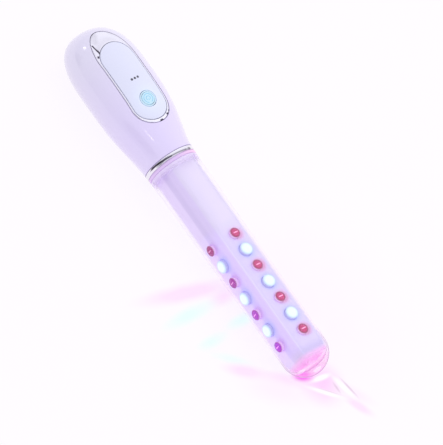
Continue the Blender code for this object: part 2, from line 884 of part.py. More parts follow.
shoulder_x = seal_rear_x + seal_width + gap
spigot_radius = bore_radius - gap
outer_dome = arc((0, dome_start_x), (tube_tip_radius, dome_depth), 90, 0, dome_points)
bore_dome = arc((0, bore_dome_start_x), (tube_bore_tip_radius, bore_dome_depth), 0, 90, dome_points)
tube_profile = [
    *outer_dome,
    (tube_neck_radius, shoulder_x + shoulder_bevel),
    (tube_neck_radius - shoulder_bevel, shoulder_x),
    (spigot_radius, shoulder_x),
    (spigot_radius, tube_rear_x),
    (tube_bore_neck_radius, tube_rear_x),
    (tube_bore_neck_radius, shoulder_x),
    *bore_dome,
]
tube_profile = [(max(0, radius), x) for radius, x in tube_profile]
tube_profile[0] = (0, tube_reach)
tube_profile[-1] = (0, bore_end_x)
add("probe_tube", turned(tube_profile, turn_sides, closed=False), clear_plastic, turned_to=along_wand)

# The core: a hollow rounded square, pierced for the emitters of each of its four rows

core_length = core_front_x - core_rear_x
core_middle_x = (core_front_x + core_rear_x) / 2
core_bore_half_side = core_half_side - core_wall
inner_core = add(
    "inner_core",
    flat_solid(
        [
            rounded_square(core_half_side, core_corner_radius),
            rounded_square(core_bore_half_side, core_corner_radius - core_wall),
        ],
        core_length,
    ),
    core_white,
    (core_middle_x, 0, 0),
    along_wand,
    core_frame,
)

emitter_shapes = {"red_diode": (red_radius, red_shoulder), "blue_led": (blue_radius, blue_shoulder)}


def emitter_kind(i):
    return "blue_led" if i % 2 else "red_diode"


def emitter_x(i):
    return first_emitter_x + i * emitter_pitch


def emitter_mesh(radius, shoulder):
    """A round body that stands on its board, with a domed lens, its height counted from the wand's axis."""
    dome = arc((0, shoulder), (radius, emitter_reach - shoulder), 90, 0, emitter_dome_points + 1)
    dome[0] = (0, emitter_reach)
    profile = [*dome, (radius, core_bore_half_side), (0, core_bore_half_side)]
    return turned(profile, small_sides, closed=False)


def emitter_holes():
    """All the holes of the core as one cutter."""
    mesh = bpy.data.meshes.new("emitter holes")
    bm = bmesh.new()
    for row in range(row_count):
        turn = Matrix.Rotation(2 * math.pi * row / row_count, 4, "X")
        for i in range(emitter_count):
            radius = emitter_shapes[emitter_kind(i)][0] + gap
            lift = Matrix.Translation((emitter_x(i), 0, core_half_side))
            bmesh.ops.create_cone(
                bm,
                cap_ends=True,
                segments=small_sides,
                radius1=radius,
                radius2=radius,
                depth=overrun,
                matrix=turn @ lift,
            )
    bm.to_mesh(mesh)
    bm.free()
    return mesh


boolean(inner_core, "DIFFERENCE", cutter("emitter holes", emitter_holes(), parent=core_frame))

emitter_meshes = {kind: emitter_mesh(*shape) for kind, shape in emitter_shapes.items()}
emitter_finishes = {"red_diode": red_lens, "blue_led": blue_lens}
strip_top = core_bore_half_side - gap
strip_bottom = strip_top - strip_thickness
strip_half_width = strip_bottom - strip_corner_room
for row in range(row_count):
    row_frame = bpy.data.objects.new(f"row {row + 1}", None)
    row_frame.rotation_euler = (2 * math.pi * row / row_count, 0, 0)
    row_frame.parent = core_frame
    wand.objects.link(row_frame)
    strip_low = (strip_rear_x, -strip_half_width, strip_bottom)
    strip_high = (strip_front_x, strip_half_width, strip_top)
    add(f"led_strip_{row + 1}", block(strip_low, strip_high), board_white, parent=row_frame)
    for i in range(emitter_count):
        kind = emitter_kind(i)
        name = f"{kind}_{row + 1}_{i + 1}"
        add(name, emitter_meshes[kind], emitter_finishes[kind], (emitter_x(i), 0, 0), parent=row_frame)


def end_cap():
    """The core's end: its outline drawn in a little towards the dome, with a rounded end edge."""
    depth = cap_end_x - core_front_x - gap
    end_half_side = core_half_side * cap_end_share
    end_corner = core_corner_radius * cap_end_share
    sections = [(-depth / 2, core_half_side, core_corner_radius)]
    for step in range(cap_round_steps + 1):
        turn = math.pi / 2 * step / cap_round_steps
        drawn_in = cap_round * (1 - math.cos(turn))
        height = depth / 2 - cap_round * (1 - math.sin(turn))
        sections.append((height, end_half_side - drawn_in, end_corner - drawn_in))
    mesh = bpy.data.meshes.new("end cap")
    bm = bmesh.new()
    loops = []
    for height, half_side, radius in sections:
        outline = rounded_square(half_side, radius)
        loops.append([bm.verts.new((x, y, height)) for x, y in outline])
    for lower, upper in zip(loops, loops[1:]):
        for i in range(len(lower)):
            bm.faces.new((lower[i - 1], lower[i], upper[i], upper[i - 1]))
    bm.faces.new(reversed(loops[0]))
    bm.faces.new(loops[-1])
    bmesh.ops.recalc_face_normals(bm, faces=bm.faces)
    bm.to_mesh(mesh)
    bm.free()
    return mesh


cap_middle_x = (cap_end_x + core_front_x + gap) / 2
add("core_end_cap", end_cap(), core_white, (cap_middle_x, 0, 0), along_wand, core_frame)

# The vibration motor, held in the core by a square sleeve, with its weight's heavy side down

sleeve_half_side = strip_bottom - gap
motor_sleeve = add(
    "motor_sleeve",
    flat_solid([rounded_square(sleeve_half_side, core_corner_radius - core_wall)], sleeve_length),
    dark_rubber,
    (sleeve_rear_x + sleeve_length / 2, 0, 0),
    along_wand,
    core_frame,
)
sleeve_end_x = sleeve_rear_x + sleeve_length
sleeve_hole = cutter(
    "sleeve hole",
    rod(motor_radius + gap, sleeve_rear_x - overrun, sleeve_end_x + overrun, motor_sides),
    turned_to=along_wand,
)
boolean(motor_sleeve, "DIFFERENCE", sleeve_hole)

motor_front_x = motor_rear_x + motor_length
motor_bore_x = motor_front_x - motor_bore_depth
motor_profile = [
    (0, motor_bore_x),
    (shaft_radius + gap, motor_bore_x),
    (shaft_radius + gap, motor_front_x),
    (motor_radius - ring_bevel, motor_front_x),
    (motor_radius, motor_front_x - ring_bevel),
    (motor_radius, motor_rear_x),
    (0, motor_rear_x),
]
add("vibration_motor", turned(motor_profile, motor_sides, closed=False), steel, turned_to=along_wand)

shaft_end_x = motor_front_x + shaft_length
weight_rear_x = motor_front_x + gap
eccentric_weight = add(
    "eccentric_weight",
    rod(weight_radius, weight_rear_x, weight_rear_x + weight_length, motor_sides),
    steel,
    turned_to=along_wand,
)
weight_flat = cutter(
    "weight flat",
    block(
        (weight_rear_x - overrun, -weight_radius - overrun, 0),
        (weight_rear_x + weight_length + overrun, weight_radius + overrun, weight_radius + overrun),
    ),
)
shaft_form = rod(shaft_radius, motor_bore_x + gap, shaft_end_x, small_sides)
shaft = cutter("shaft", shaft_form, turned_to=along_wand)
boolean(eccentric_weight, "DIFFERENCE", weight_flat)
boolean(eccentric_weight, "UNION", shaft)

# The wires: from under the control board, down through the neck and up to the first strip


def smooth_route(points, steps):
    """Points on a smooth curve through the given ones."""
    route = []
    ends = [points[0] * 2 - points[1], *points, points[-1] * 2 - points[-2]]
    for a, b, c, d in zip(ends, ends[1:], ends[2:], ends[3:]):
        for i in range(steps):
            t = i / steps
            bend = (2 * a - 5 * b + 4 * c - d) * t**2 + (3 * b - a - 3 * c + d) * t**3
            route.append((2 * b + (c - a) * t + bend) / 2)
    return [*route, points[-1]]


wire_start_z = board_bottom - gap - wire_radius
wire_end_z = strip_bottom - gap
wire_end_x = strip_rear_x + 2 * wire_radius
core_rotation = Matrix.Rotation(core_turn, 3, "X")
wire_route = [
    Vector((wire_start_x, wire_side_step, wire_start_z)),
    Vector((board_front_x - wire_radius * 2, wire_side_step, wire_start_z)),
    Vector((wire_turn_x, wire_side_step / 2, wire_start_z / 3)),
    Vector((bulkhead_front_x, 0, 0)),
    Vector((coupling_front_x, 0, 0)),
    core_rotation @ Vector((wire_lift_x, 0, wire_end_z / 8)),
    core_rotation @ Vector((wire_end_x, 0, wire_end_z / 2)),
    core_rotation @ Vector((wire_end_x, 0, wire_end_z)),
]
wire = bpy.data.curves.new("wire route", "CURVE")
wire.dimensions = "3D"
wire.bevel_depth = wire_radius
wire.bevel_resolution = 2
wire.use_fill_caps = True
wire_spline = wire.splines.new("POLY")
wire_points = smooth_route(wire_route, wire_bends)
wire_spline.points.add(len(wire_points) - 1)
for point, place in zip(wire_spline.points, wire_points):
    point.co = (*place, 1)
add("wire_harness", evaluated_mesh(wire), wire_grey)
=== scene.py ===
# %% [markdown]
# # Dressing a laser therapy wand
#
# The wand is a slim care device. A glossy white handle carries an ice-blue panel in a chrome frame, with one
# lit button. A chrome ring joins it to a long clear tube, and inside the tube a white core carries rows of
# red and blue lights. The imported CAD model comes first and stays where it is: its pieces already sit in the
# right places, in metres, so every finer piece below is made at the place of the one that it stands for.

# %% The frame
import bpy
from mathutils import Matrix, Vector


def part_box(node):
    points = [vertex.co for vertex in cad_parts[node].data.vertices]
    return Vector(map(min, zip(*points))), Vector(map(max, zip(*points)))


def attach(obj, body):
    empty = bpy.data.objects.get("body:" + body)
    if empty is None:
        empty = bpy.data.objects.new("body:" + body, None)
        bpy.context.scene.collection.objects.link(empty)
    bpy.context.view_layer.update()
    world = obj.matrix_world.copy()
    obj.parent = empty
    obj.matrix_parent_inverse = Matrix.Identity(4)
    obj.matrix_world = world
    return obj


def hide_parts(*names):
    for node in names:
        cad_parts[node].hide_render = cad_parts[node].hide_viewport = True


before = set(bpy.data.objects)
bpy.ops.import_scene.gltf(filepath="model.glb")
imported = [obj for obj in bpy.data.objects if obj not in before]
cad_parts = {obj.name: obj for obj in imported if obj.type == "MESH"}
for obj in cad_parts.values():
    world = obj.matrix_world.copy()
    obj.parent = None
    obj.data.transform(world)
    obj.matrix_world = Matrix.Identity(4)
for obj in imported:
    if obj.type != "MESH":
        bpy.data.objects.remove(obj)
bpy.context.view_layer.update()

# %% Python's own tools
import math

import bmesh
import bpy
from mathutils import Matrix, Vector

# %% [markdown]
# ## The camera
#
# The photograph looks down on the wand from high up, and the camera is rolled so that the wand runs from the
# upper left to the lower right. Two angles say where the camera stands, as a tripod head does, and a third
# says how far it is rolled. It stands far away with a long lens, because the photograph shows hardly any
# perspective: the tube's near end is no wider than its far one. What one pixel shows at the wand then fixes
# the lens.

# %% Camera
image_height = 445
metres_per_pixel = 0.00058
camera_distance = 3.0
look_at = Vector((0.01527, 0.00924, 0.01046))
azimuth, elevation, roll = math.radians(22.98), math.radians(54.85), math.radians(35.53)

camera_turn = Matrix.Rotation(azimuth, 4, "Z") @ Matrix.Rotation(math.pi / 2 - elevation, 4, "X")
camera_turn = camera_turn @ Matrix.Rotation(roll, 4, "Z")
camera_data = bpy.data.cameras.new("camera")
camera_data.sensor_width = 36
camera_data.lens = camera_data.sensor_width * camera_distance / (image_height * metres_per_pixel)
camera_data.clip_end = 20
camera = bpy.data.objects.new("camera", camera_data)
camera.matrix_world = Matrix.Translation(look_at) @ camera_turn @ Matrix.Translation((0, 0, camera_distance))
bpy.context.scene.collection.objects.link(camera)
bpy.context.scene.camera = camera
print("lens:", round(camera_data.lens), "mm")

# %% [markdown]
# ## Writing nodes as sums
#
# Both materials and Geometry Nodes do their sums with Math nodes. Laid out by hand they are hard to read, so
# one small class wraps a socket and teaches it Python's operators: each operator adds its Math node. The
# method node makes any other node. It applies the settings first, because they decide which sockets the node
# has, and then gives each socket a value or a link.

# %% A socket that can be summed


class Flow:
    """An output socket of a node tree, or the tree alone while nothing has been made in it."""

    def __init__(self, tree, socket=None):
        self.tree = tree
        self.socket = socket

    def node(self, kind, settings=None, values=None, output=0):
        node = self.tree.nodes.new(kind)
        for name, setting in (settings or {}).items():
            if name == "stops":
                for element, (place, colour) in zip(node.color_ramp.elements, setting):
                    element.position, element.color = place, (*colour, 1)
            else:
                setattr(node, name, setting)
        for name, value in (values or {}).items():
            if isinstance(value, Flow):
                self.tree.links.new(value.socket, node.inputs[name])
            else:
                node.inputs[name].default_value = value
        return Flow(self.tree, node.outputs[output])

    def beside(self, output):
        """Another output of the node that this one comes from."""
        return Flow(self.tree, self.socket.node.outputs[output])

    def maths(self, operation, *values):
        return self.node("ShaderNodeMath", {"operation": operation}, dict(enumerate(values)))

    def __add__(self, other):
        return self.maths("ADD", self, other)

    def __sub__(self, other):
        return self.maths("SUBTRACT", self, other)

    def __rsub__(self, other):
        return self.maths("SUBTRACT", other, self)

    def __mul__(self, other):
        return self.maths("MULTIPLY", self, other)

    def __truediv__(self, other):
        return self.maths("DIVIDE", self, other)

    def __rtruediv__(self, other):
        return self.maths("DIVIDE", other, self)

    def __pow__(self, other):
        return self.maths("POWER", self, other)

    def __gt__(self, other):
        return self.maths("GREATER_THAN", self, other)

    def __abs__(self):
        return self.maths("ABSOLUTE", self)

    __radd__ = __add__
    __rmul__ = __mul__


def larger(value, other):
    return value.maths("MAXIMUM", value, other) if isinstance(value, Flow) else max(value, other)


def smaller(value, other):
    return value.maths("MINIMUM", value, other) if isinstance(value, Flow) else min(value, other)


def cosine(angle):
    return angle.maths("COSINE", angle) if isinstance(angle, Flow) else math.cos(angle)


# %% [markdown]
# ## Skins over rings of points
#
# Most pieces of the wand are skins over rings of points: a turned ring, the chrome frame that follows the
# handle, the button's cap. One function makes them all. A ring of a single point closes an end, and a hoop's
# last ring is joined to its first. The points are counted from the neck, on the tube's axis, which is the
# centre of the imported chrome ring.

# %% Rings, profiles and pieces
ring_front_x = 0.0005
ring_low, ring_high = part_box("neck_ring")
neck = Vector((ring_high.x - ring_front_x, 0, (ring_low.z + ring_high.z) / 2))
smooth_angle = math.radians(35)


def plain_mesh(name, bm):
    bmesh.ops.recalc_face_normals(bm, faces=bm.faces)
    mesh = bpy.data.meshes.new(name)
    bm.to_mesh(mesh)
    bm.free()
    return mesh


def lofted(rings, hoop=False):
    """A closed skin over rings of points, each ring going round."""
    bm = bmesh.new()
    loops = [[bm.verts.new(neck + Vector(point)) for point in ring] for ring in rings]
    pairs = list(zip(loops, loops[1:])) + ([(loops[-1], loops[0])] if hoop else [])
    for first, second in pairs:
        count = max(len(first), len(second))
        for i in range(count):
            j = (i + 1) % count
            corners = [
                first[i % len(first)],
                first[j % len(first)],
                second[j % len(second)],
                second[i % len(second)],
            ]
            bm.faces.new(dict.fromkeys(corners))
    return plain_mesh("loft", bm)


def capped(rings):
    """A closed skin over rings of points, with a point in the middle of each end."""
    first, last = [[sum(map(Vector, ring), Vector((0, 0, 0))) / len(ring)] for ring in (rings[0], rings[-1])]
    return lofted([first, *rings, last])


def circle(radius, x, sides):
    """A ring round the tube's axis, or its centre alone where the radius is 0."""
    if radius <= 0:
        return [(x, 0, 0)]
    turns = [2 * math.pi * i / sides for i in range(sides)]
    return [(x, radius * math.cos(turn), radius * math.sin(turn)) for turn in turns]


def turned(profile, sides=128, hoop=False):
    """A profile of (radius, x) points turned about the tube's axis."""
    return lofted([circle(radius, x, sides) for radius, x in profile], hoop)


def arc(centre, radii, start, end, count):
    """Points of an ellipse's arc, its angles in degrees."""
    turns = [math.radians(start + (end - start) * i / (count - 1)) for i in range(count)]
    return [(centre[0] + radii[0] * math.cos(turn), centre[1] + radii[1] * math.sin(turn)) for turn in turns]


def rounded_edge(radius, degrees):
    """At each of these angles, how far a rounded edge lies short of its corner, and how far it has fallen."""
    angles = [math.radians(turn) for turn in degrees]
    return [(radius * (1 - math.sin(angle)), radius * (1 - math.cos(angle))) for angle in angles]


def piece(name, mesh, material, body, slot, *nodes):
    """A finished piece: its material, the body that it rides on and the CAD nodes that it stands for."""
    mesh.materials.clear()
    mesh.materials.append(material)
    mesh.shade_smooth()
    mesh.set_sharp_from_angle(angle=smooth_angle)
    obj = bpy.data.objects.new(name, mesh)
    bpy.context.scene.collection.objects.link(obj)
    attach(obj, body)
    if nodes:
        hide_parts(*nodes)
    print(f"{name}: {len(mesh.polygons)} faces for {', '.join(nodes[:3])}{' ...' if len(nodes) > 3 else ''}")


def object_from(mesh):
    obj = bpy.data.objects.new("made once", mesh)
    bpy.context.scene.collection.objects.link(obj)
    return obj


def cut(mesh, *others):
    """The mesh with the others cut out of it, one after another."""
    obj = object_from(mesh)
    helpers = [object_from(other) for other in others]
    for helper in helpers:
        modifier = obj.modifiers.new("cut", "BOOLEAN")
        modifier.operation = "DIFFERENCE"
        modifier.solver = "EXACT"
        modifier.object = helper
    graph = bpy.context.evaluated_depsgraph_get()
    result = bpy.data.meshes.new_from_object(obj.evaluated_get(graph))
    for helper in [obj, *helpers]:
        bpy.data.objects.remove(helper)
    return result


# %% [markdown]
# ## Finishes
#
# No surface of the real wand is one flat colour: the mould leaves a fine grain, the pigment is a little
# uneven and the gloss varies. A picture wrapped round each piece could show that. Noise in the piece's own
# coordinates has no seams, and its grain is given in metres, so every finish starts from it. The handle's
# comes first: a glossy white, with the lilac light of the tube painted in towards the neck.

# %% What every finish uses
def start_material(name):
    """A new node material, its Principled shader, and a Flow to build from."""
    material = bpy.data.materials.new(name)
    material.use_nodes = True
    tree = material.node_tree
    return material, tree.nodes["Principled BSDF"], Flow(tree)


def set_sockets(shader, flow, values):
    for name, value in values.items():
        if isinstance(value, Flow):
            flow.tree.links.new(value.socket, shader.inputs[name])
        else:
            shader.inputs[name].default_value = value


def object_place(flow):
    return flow.node("ShaderNodeTexCoord", output="Object")


def from_neck(flow):
    """How far a point of the piece lies from the neck: along the wand, sideways and up."""
    x = flow.node("ShaderNodeSeparateXYZ", None, {0: object_place(flow)})
    return x - neck.x, x.beside("Y"), x.beside("Z") - neck.z


def noise(flow, place, size, detail=2.0):
    """Soft noise whose patches have about this size in metres."""
    return flow.node("ShaderNodeTexNoise", None, {"Vector": place, "Scale": 1 / size, "Detail": detail})


def ramp(value, start, reach):
    """0 before the start, 1 after the reach."""
    return smaller(larger((value - start) / reach, 0), 1)


def colour(*rgb):
    return (*rgb, 1)


def blend(flow, share, first, second):
    """A colour between two, each of them a Flow or plain red, green and blue."""
    first, second = [tint if isinstance(tint, Flow) else colour(*tint) for tint in (first, second)]
    values = {0: share, 6: first, 7: second}
    return flow.node("ShaderNodeMix", {"data_type": "RGBA"}, values, output=2)


def layered(flow, base, *layers):
    """A colour with others laid over it in turn, each with its share."""
    for share, tint in layers:
        base = blend(flow, share, base, tint)
    return base


def bump(flow, height, depth, strength=1.0):
    return flow.node("ShaderNodeBump", None, {"Height": height, "Distance": depth, "Strength": strength})


# %% The handle's glossy white
tube_light_start_x, tube_light_reach = -0.075, 0.055


def handle_gloss():
    """Glossy white plastic under a clear coat, with the tube's lilac light painted in towards the neck."""
    material, shader, flow = start_material("handle_white_gloss")
    place = object_place(flow)
    patches, fine = noise(flow, place, 0.03, 3.0), noise(flow, place, 0.0012, 1.0)
    # Painted light: the tube's lilac light on the handle, growing towards the neck.
    tube_light_share = ramp(from_neck(flow)[0], tube_light_start_x, tube_light_reach)
    light = blend(flow, tube_light_share, (0.81, 0.783, 0.92), (0.825, 0.745, 1.0))
    dark = blend(flow, tube_light_share, (0.785, 0.75, 0.905), (0.795, 0.71, 0.985))
    values = {
        "Base Color": blend(flow, patches, light, dark),
        "Roughness": 0.145 + fine * 0.03,
        "Normal": bump(flow, fine, 0.000003),
        "Coat Weight": 0.8,
        "Coat Roughness": 0.04,
    }
    set_sockets(shader, flow, values)
    return material


handle_white = handle_gloss()
print("handle's finish:", len(handle_white.node_tree.nodes), "nodes")

# %% [markdown]
# ## The handle's form
#
# The handle is one smooth form: a bulb that narrows to the neck in front and closes like an egg behind.
# Such a form follows a rule, so it is made with Geometry Nodes: a ball's rings are moved to the sections of
# the handle. The rule itself is written once, as a Python function. Given numbers it returns numbers, and
# given sockets it builds nodes, because Flow answers to the same operators. The chrome frame, the panel and
# the button use it with numbers, and the tree uses it with sockets, so that all of them follow one skin.

# %% The rule for the handle's section
neck_radius = 0.01624
handle_half_width = 0.02315
handle_top = 0.0223
handle_length = neck.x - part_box("handle_shell")[0].x
widest_x = 0.0378 - handle_length
widest_height = 0.0033
land_depth = 0.0163
belly_depth = 0.0169
swell_power, top_power, side_power, end_power = 1.6, 2.5, 3.0, 2.5
print("handle length:", round(handle_length, 4))


def section(x, inset):
    """The handle at x: half width, height of the widest line, top and bottom, all moved in by inset."""
    ahead = 1 - larger(x, widest_x) / widest_x
    swell = (1 + cosine(math.pi * ahead**swell_power)) / 2
    behind = (widest_x - smaller(x, widest_x)) / (handle_length + widest_x - inset)
    along = smaller(behind, 1)
    side_share = (1 - along**side_power) ** (1 / end_power)
    top_share = (1 - along**top_power) ** (1 / end_power)
    half_width = (neck_radius - inset + (handle_half_width - neck_radius) * swell) * side_share
    top = (neck_radius - inset + (handle_top - neck_radius) * swell) * top_share
    bottom = (inset - neck_radius - (belly_depth - neck_radius) * swell) * side_share
    return half_width, widest_height * swell * top_share, top, bottom


def skin_top(x, y, inset=0.0):
    """The height of the handle's upper skin over a point of its plan."""
    half_width, widest, top, bottom = section(x, inset)
    return widest + (top - widest) * math.sqrt(max(0, 1 - (y / half_width) ** 2))


# %% The tree that makes a form of the handle
def new_tree(name, inputs):
    """An empty Geometry Nodes tree with named inputs, and a Flow for each of them."""
    tree = bpy.data.node_groups.new(name, "GeometryNodeTree")
    for label, kind in inputs.items():
        tree.interface.new_socket(label, in_out="INPUT", socket_type=f"NodeSocket{kind}")
    tree.interface.new_socket("Geometry", in_out="OUTPUT", socket_type="NodeSocketGeometry")
    source = tree.nodes.new("NodeGroupInput")
    return tree, {label: Flow(tree, source.outputs[label]) for label in inputs}


def end_tree(tree, geometry, finish):
    """Realize Instances and Set Material, then the tree's output."""
    whole = geometry.node("GeometryNodeRealizeInstances", None, {"Geometry": geometry})
    painted = whole.node("GeometryNodeSetMaterial", None, {"Geometry": whole, "Material": finish})
    target = tree.nodes.new("NodeGroupOutput")
    tree.links.new(painted.socket, target.inputs[0])


def mesh_by(tree, **values):
    """Runs a tree once and returns a plain mesh."""
    obj = object_from(bpy.data.meshes.new("empty"))
    modifier = obj.modifiers.new("nodes", "NODES")
    modifier.node_group = tree
    for socket in tree.interface.items_tree:
        if socket.in_out == "INPUT":
            modifier[socket.identifier] = values[socket.name.lower().replace(" ", "_")]
    graph = bpy.context.evaluated_depsgraph_get()
    mesh = bpy.data.meshes.new_from_object(obj.evaluated_get(graph))
    obj.modifiers.remove(modifier)
    bpy.data.objects.remove(obj)
    return mesh


inputs = {"Inset": "Float", "Front": "Float", "Sides": "Int", "Rings": "Int"}
inputs |= {"Neck": "Vector", "Finish": "Material"}
form_tree, given = new_tree("handle form", inputs)
flow = Flow(form_tree)
ball_values = {"Segments": given["Sides"], "Rings": given["Rings"], "Radius": 1.0}
ball = flow.node("GeometryNodeMeshUVSphere", None, ball_values)
across = flow.node("ShaderNodeSeparateXYZ", None, {0: flow.node("GeometryNodeInputPosition")})
upward, forward = across.beside("Y"), across.beside("Z")
around = flow.maths("ARCTAN2", upward, across)
ring = flow.maths("ARCCOSINE", forward) / math.pi * given["Rings"]
half = given["Rings"] / 2
front_share = (half - larger(smaller(ring, half), 1)) / (half - 1)
rear_turn = (larger(ring, half) / half - 1) * (math.pi / 2)
rear_reach = handle_length + widest_x - given["Inset"]
x = widest_x + (given["Front"] - widest_x) * front_share - rear_reach * flow.maths("SINE", rear_turn)
half_width, widest, top, bottom = section(x, given["Inset"])
off_pole = ring > 0.5
side = cosine(around) * off_pole
rise = flow.maths("SINE", around) * off_pole
upper = rise > 0
reach = (top - widest) * upper + (widest - bottom) * (1 - upper)
place = flow.node("ShaderNodeCombineXYZ", None, {"X": x, "Y": half_width * side, "Z": widest + reach * rise})
moved = flow.node("ShaderNodeVectorMath", {"operation": "ADD"}, {0: place, 1: given["Neck"]})
shaped = flow.node("GeometryNodeSetPosition", None, {"Geometry": ball, "Position": moved})
end_tree(form_tree, shaped, given["Finish"])

shell_wall = 0.0028
handle_front_x = -0.0025
cavity_front_x = -0.0190
bulkhead_front_x = -0.0163


def form(inset, front_x=handle_front_x, sides=144, rings=110):
    return mesh_by(
        form_tree, inset=inset, front=front_x, sides=sides, rings=rings, neck=neck, finish=handle_white
    )


print("handle form:", len(form(0).polygons), "faces")

# %% [markdown]
# ## The handle's two shells
#
# A real handle is moulded as two shells that snap together along a seam under its widest line. The upper one
# has a deep seat for the chrome frame and the panel, an opening for the electronics and a port at the rear.
# The lower one has the flat that the wand rests on. Both are cut from the one form with booleans, as a mould
# maker cuts one block, so that the seam's two edges match everywhere.

# %% Outlines seen from above
panel_radius = 0.0110
panel_rear_x, panel_front_x = -0.0660, -0.0340
bezel_half_width, bezel_front_reach, bezel_rear_reach = 0.0126, 0.0135, 0.0220
ledge_width = 0.0016
gap = 0.0003


def pill(rear_reach, front_reach, half_width, arc_points=60, side_points=28):
    """The outline of the panel and its frame: half an ellipse about each of two centres, and two sides."""
    front = arc((panel_front_x, 0), (front_reach, half_width), -90, 90, arc_points)
    rear = arc((panel_rear_x, 0), (rear_reach, half_width), 90, 270, arc_points)
    shares = [i / (side_points + 1) for i in range(1, side_points + 1)]
    far_side = [(panel_front_x + (panel_rear_x - panel_front_x) * share, half_width) for share in shares]
    near_side = [(x, -half_width) for x, _ in reversed(far_side)]
    return front + far_side + rear + near_side


def oval(half_width, half_height, points=32):
    """An outline with round ends."""
    straight = half_width - half_height
    right = arc((straight, 0), (half_height, half_height), -90, 90, points)
    left = arc((-straight, 0), (half_height, half_height), 90, 270, points)
    return right + left


def prism(outline, low, high):
    """An outline in plan raised between two heights."""
    return capped([[(x, y, height) for x, y in outline] for height in (low, high)])


def rearward(outline, low_x, high_x, height):
    """An outline seen from behind, pushed along the wand."""
    return capped([[(x, side, height + up) for side, up in outline] for x in (low_x, high_x)])


def block(low, high):
    xs, ys, zs = zip(low, high)
    return capped([[(x, ys[0], zs[0]), (x, ys[1], zs[0]), (x, ys[1], zs[1]), (x, ys[0], zs[1])] for x in xs])


print("frame's outline:", len(pill(bezel_rear_reach, bezel_front_reach, bezel_half_width)), "points")

# %% The shells
bore_radius = 0.0153
bulkhead_hole_radius = 0.0050
recess_inset = 0.0019
panel_bottom_inset = 0.0010
seam_height = -0.0095
port_height = -0.0036
cover_half_width, cover_half_height = 0.0066, 0.0036
cover_thickness, cover_ledge = 0.0012, 0.0012
overrun = 0.0040
tall = 0.0400

cavity = form(shell_wall, cavity_front_x, 72, 56)
bore = turned([(0, bulkhead_front_x), (bore_radius, bulkhead_front_x), (bore_radius, overrun), (0, overrun)])
hole_rear_x = -0.030
hole_ends = [(bulkhead_hole_radius, hole_rear_x), (bulkhead_hole_radius, overrun)]
bulkhead_hole = turned([(0, hole_rear_x), *hole_ends, (0, overrun)], 48)
recess = cut(
    prism(pill(bezel_rear_reach, bezel_front_reach, bezel_half_width), 0, tall), form(recess_inset)
)
opening_radius = panel_radius - ledge_width
opening = prism(pill(opening_radius, opening_radius, opening_radius), 0, tall)
rear_x, inner_x = -handle_length - overrun, -0.080
cover_recess = cut(
    rearward(oval(cover_half_width + gap, cover_half_height + gap), rear_x, inner_x, port_height),
    form(cover_thickness + gap),
)
port_hole = rearward(
    oval(cover_half_width - cover_ledge, cover_half_height - cover_ledge), rear_x, inner_x, port_height
)
reach_y = handle_half_width + overrun
below_seam = block((rear_x, -reach_y, -tall), (overrun, reach_y, seam_height + gap / 2))
above_seam = block((rear_x, -reach_y, seam_height - gap / 2), (overrun, reach_y, tall))
below_land = block((rear_x, -reach_y, -tall), (overrun, reach_y, -land_depth))

upper_shell = cut(
    form(0), cavity, bore, bulkhead_hole, recess, opening, cover_recess, port_hole, below_seam
)
piece("handle_upper_shell", upper_shell, handle_white, "wand", "handle_white", "handle_shell")
lower_shell = cut(form(0), cavity, bore, bulkhead_hole, above_seam, below_land)
piece("handle_belly_shell", lower_shell, handle_white, "wand", "handle_white", "belly_cover")

# %% [markdown]
# ## Chrome trim
#
# The frame round the panel is a narrow bead of plated plastic that widens into a crescent behind the panel,
# where it is dished like the bowl of a spoon. The neck ring is a turned band with one fine groove. Both are
# skins over rings of points, because a boolean would leave hard edges, and it is the rounded edges that
# catch thin dark and light lines. Plating is a mirror, and what stood round the real wand can't be known.
# The white tent below gives the broad reflections, and the darkest short ones are painted into the plating's
# colour: painted dark reflections, each along a line seen from above.

# %% The chrome finish
def from_line(x, y, start, end):
    """How far a point of the plan lies from a line between two others."""
    (start_x, start_y), (end_x, end_y) = start, end
    run_x, run_y = end_x - start_x, end_y - start_y
    share = ((x - start_x) * run_x + (y - start_y) * run_y) / (run_x**2 + run_y**2)
    share = smaller(larger(share, 0), 1)
    return ((x - start_x - share * run_x) ** 2 + (y - start_y - share * run_y) ** 2) ** 0.5


def plated(name, tint, streaks):
    """Chrome over plastic: nearly a mirror, faintly wiped, with dark reflections painted on its upper half.
    """
    material, shader, flow = start_material(name)
    place = object_place(flow)
    stretched = flow.node("ShaderNodeMapping", None, {"Vector": place, "Scale": (1, 9, 9)})
    wiped = noise(flow, stretched, 0.004, 4.0)
    plating = blend(flow, wiped, tint, [channel * 0.94 for channel in tint])
    x, y, z = from_neck(flow)
    upper_half = ramp(z, 0.001, 0.001)
    # Painted reflections: each one darkens the plating near its line, on the upper half only.
    for start, end, half_width, darkness in streaks:
        away = from_line(x, y, start, end)
        share = (1 - ramp(away, half_width * 0.4, half_width * 0.6)) * upper_half * darkness
        plating = blend(flow, share, plating, (0.07, 0.06, 0.09))
    values = {
        "Base Color": plating,
        "Roughness": 0.05 + wiped * 0.05,
        "Metallic": 1.0,
        "Normal": bump(flow, noise(flow, place, 0.006), 0.00001, 0.4),
    }
    set_sockets(shader, flow, values)
    return material
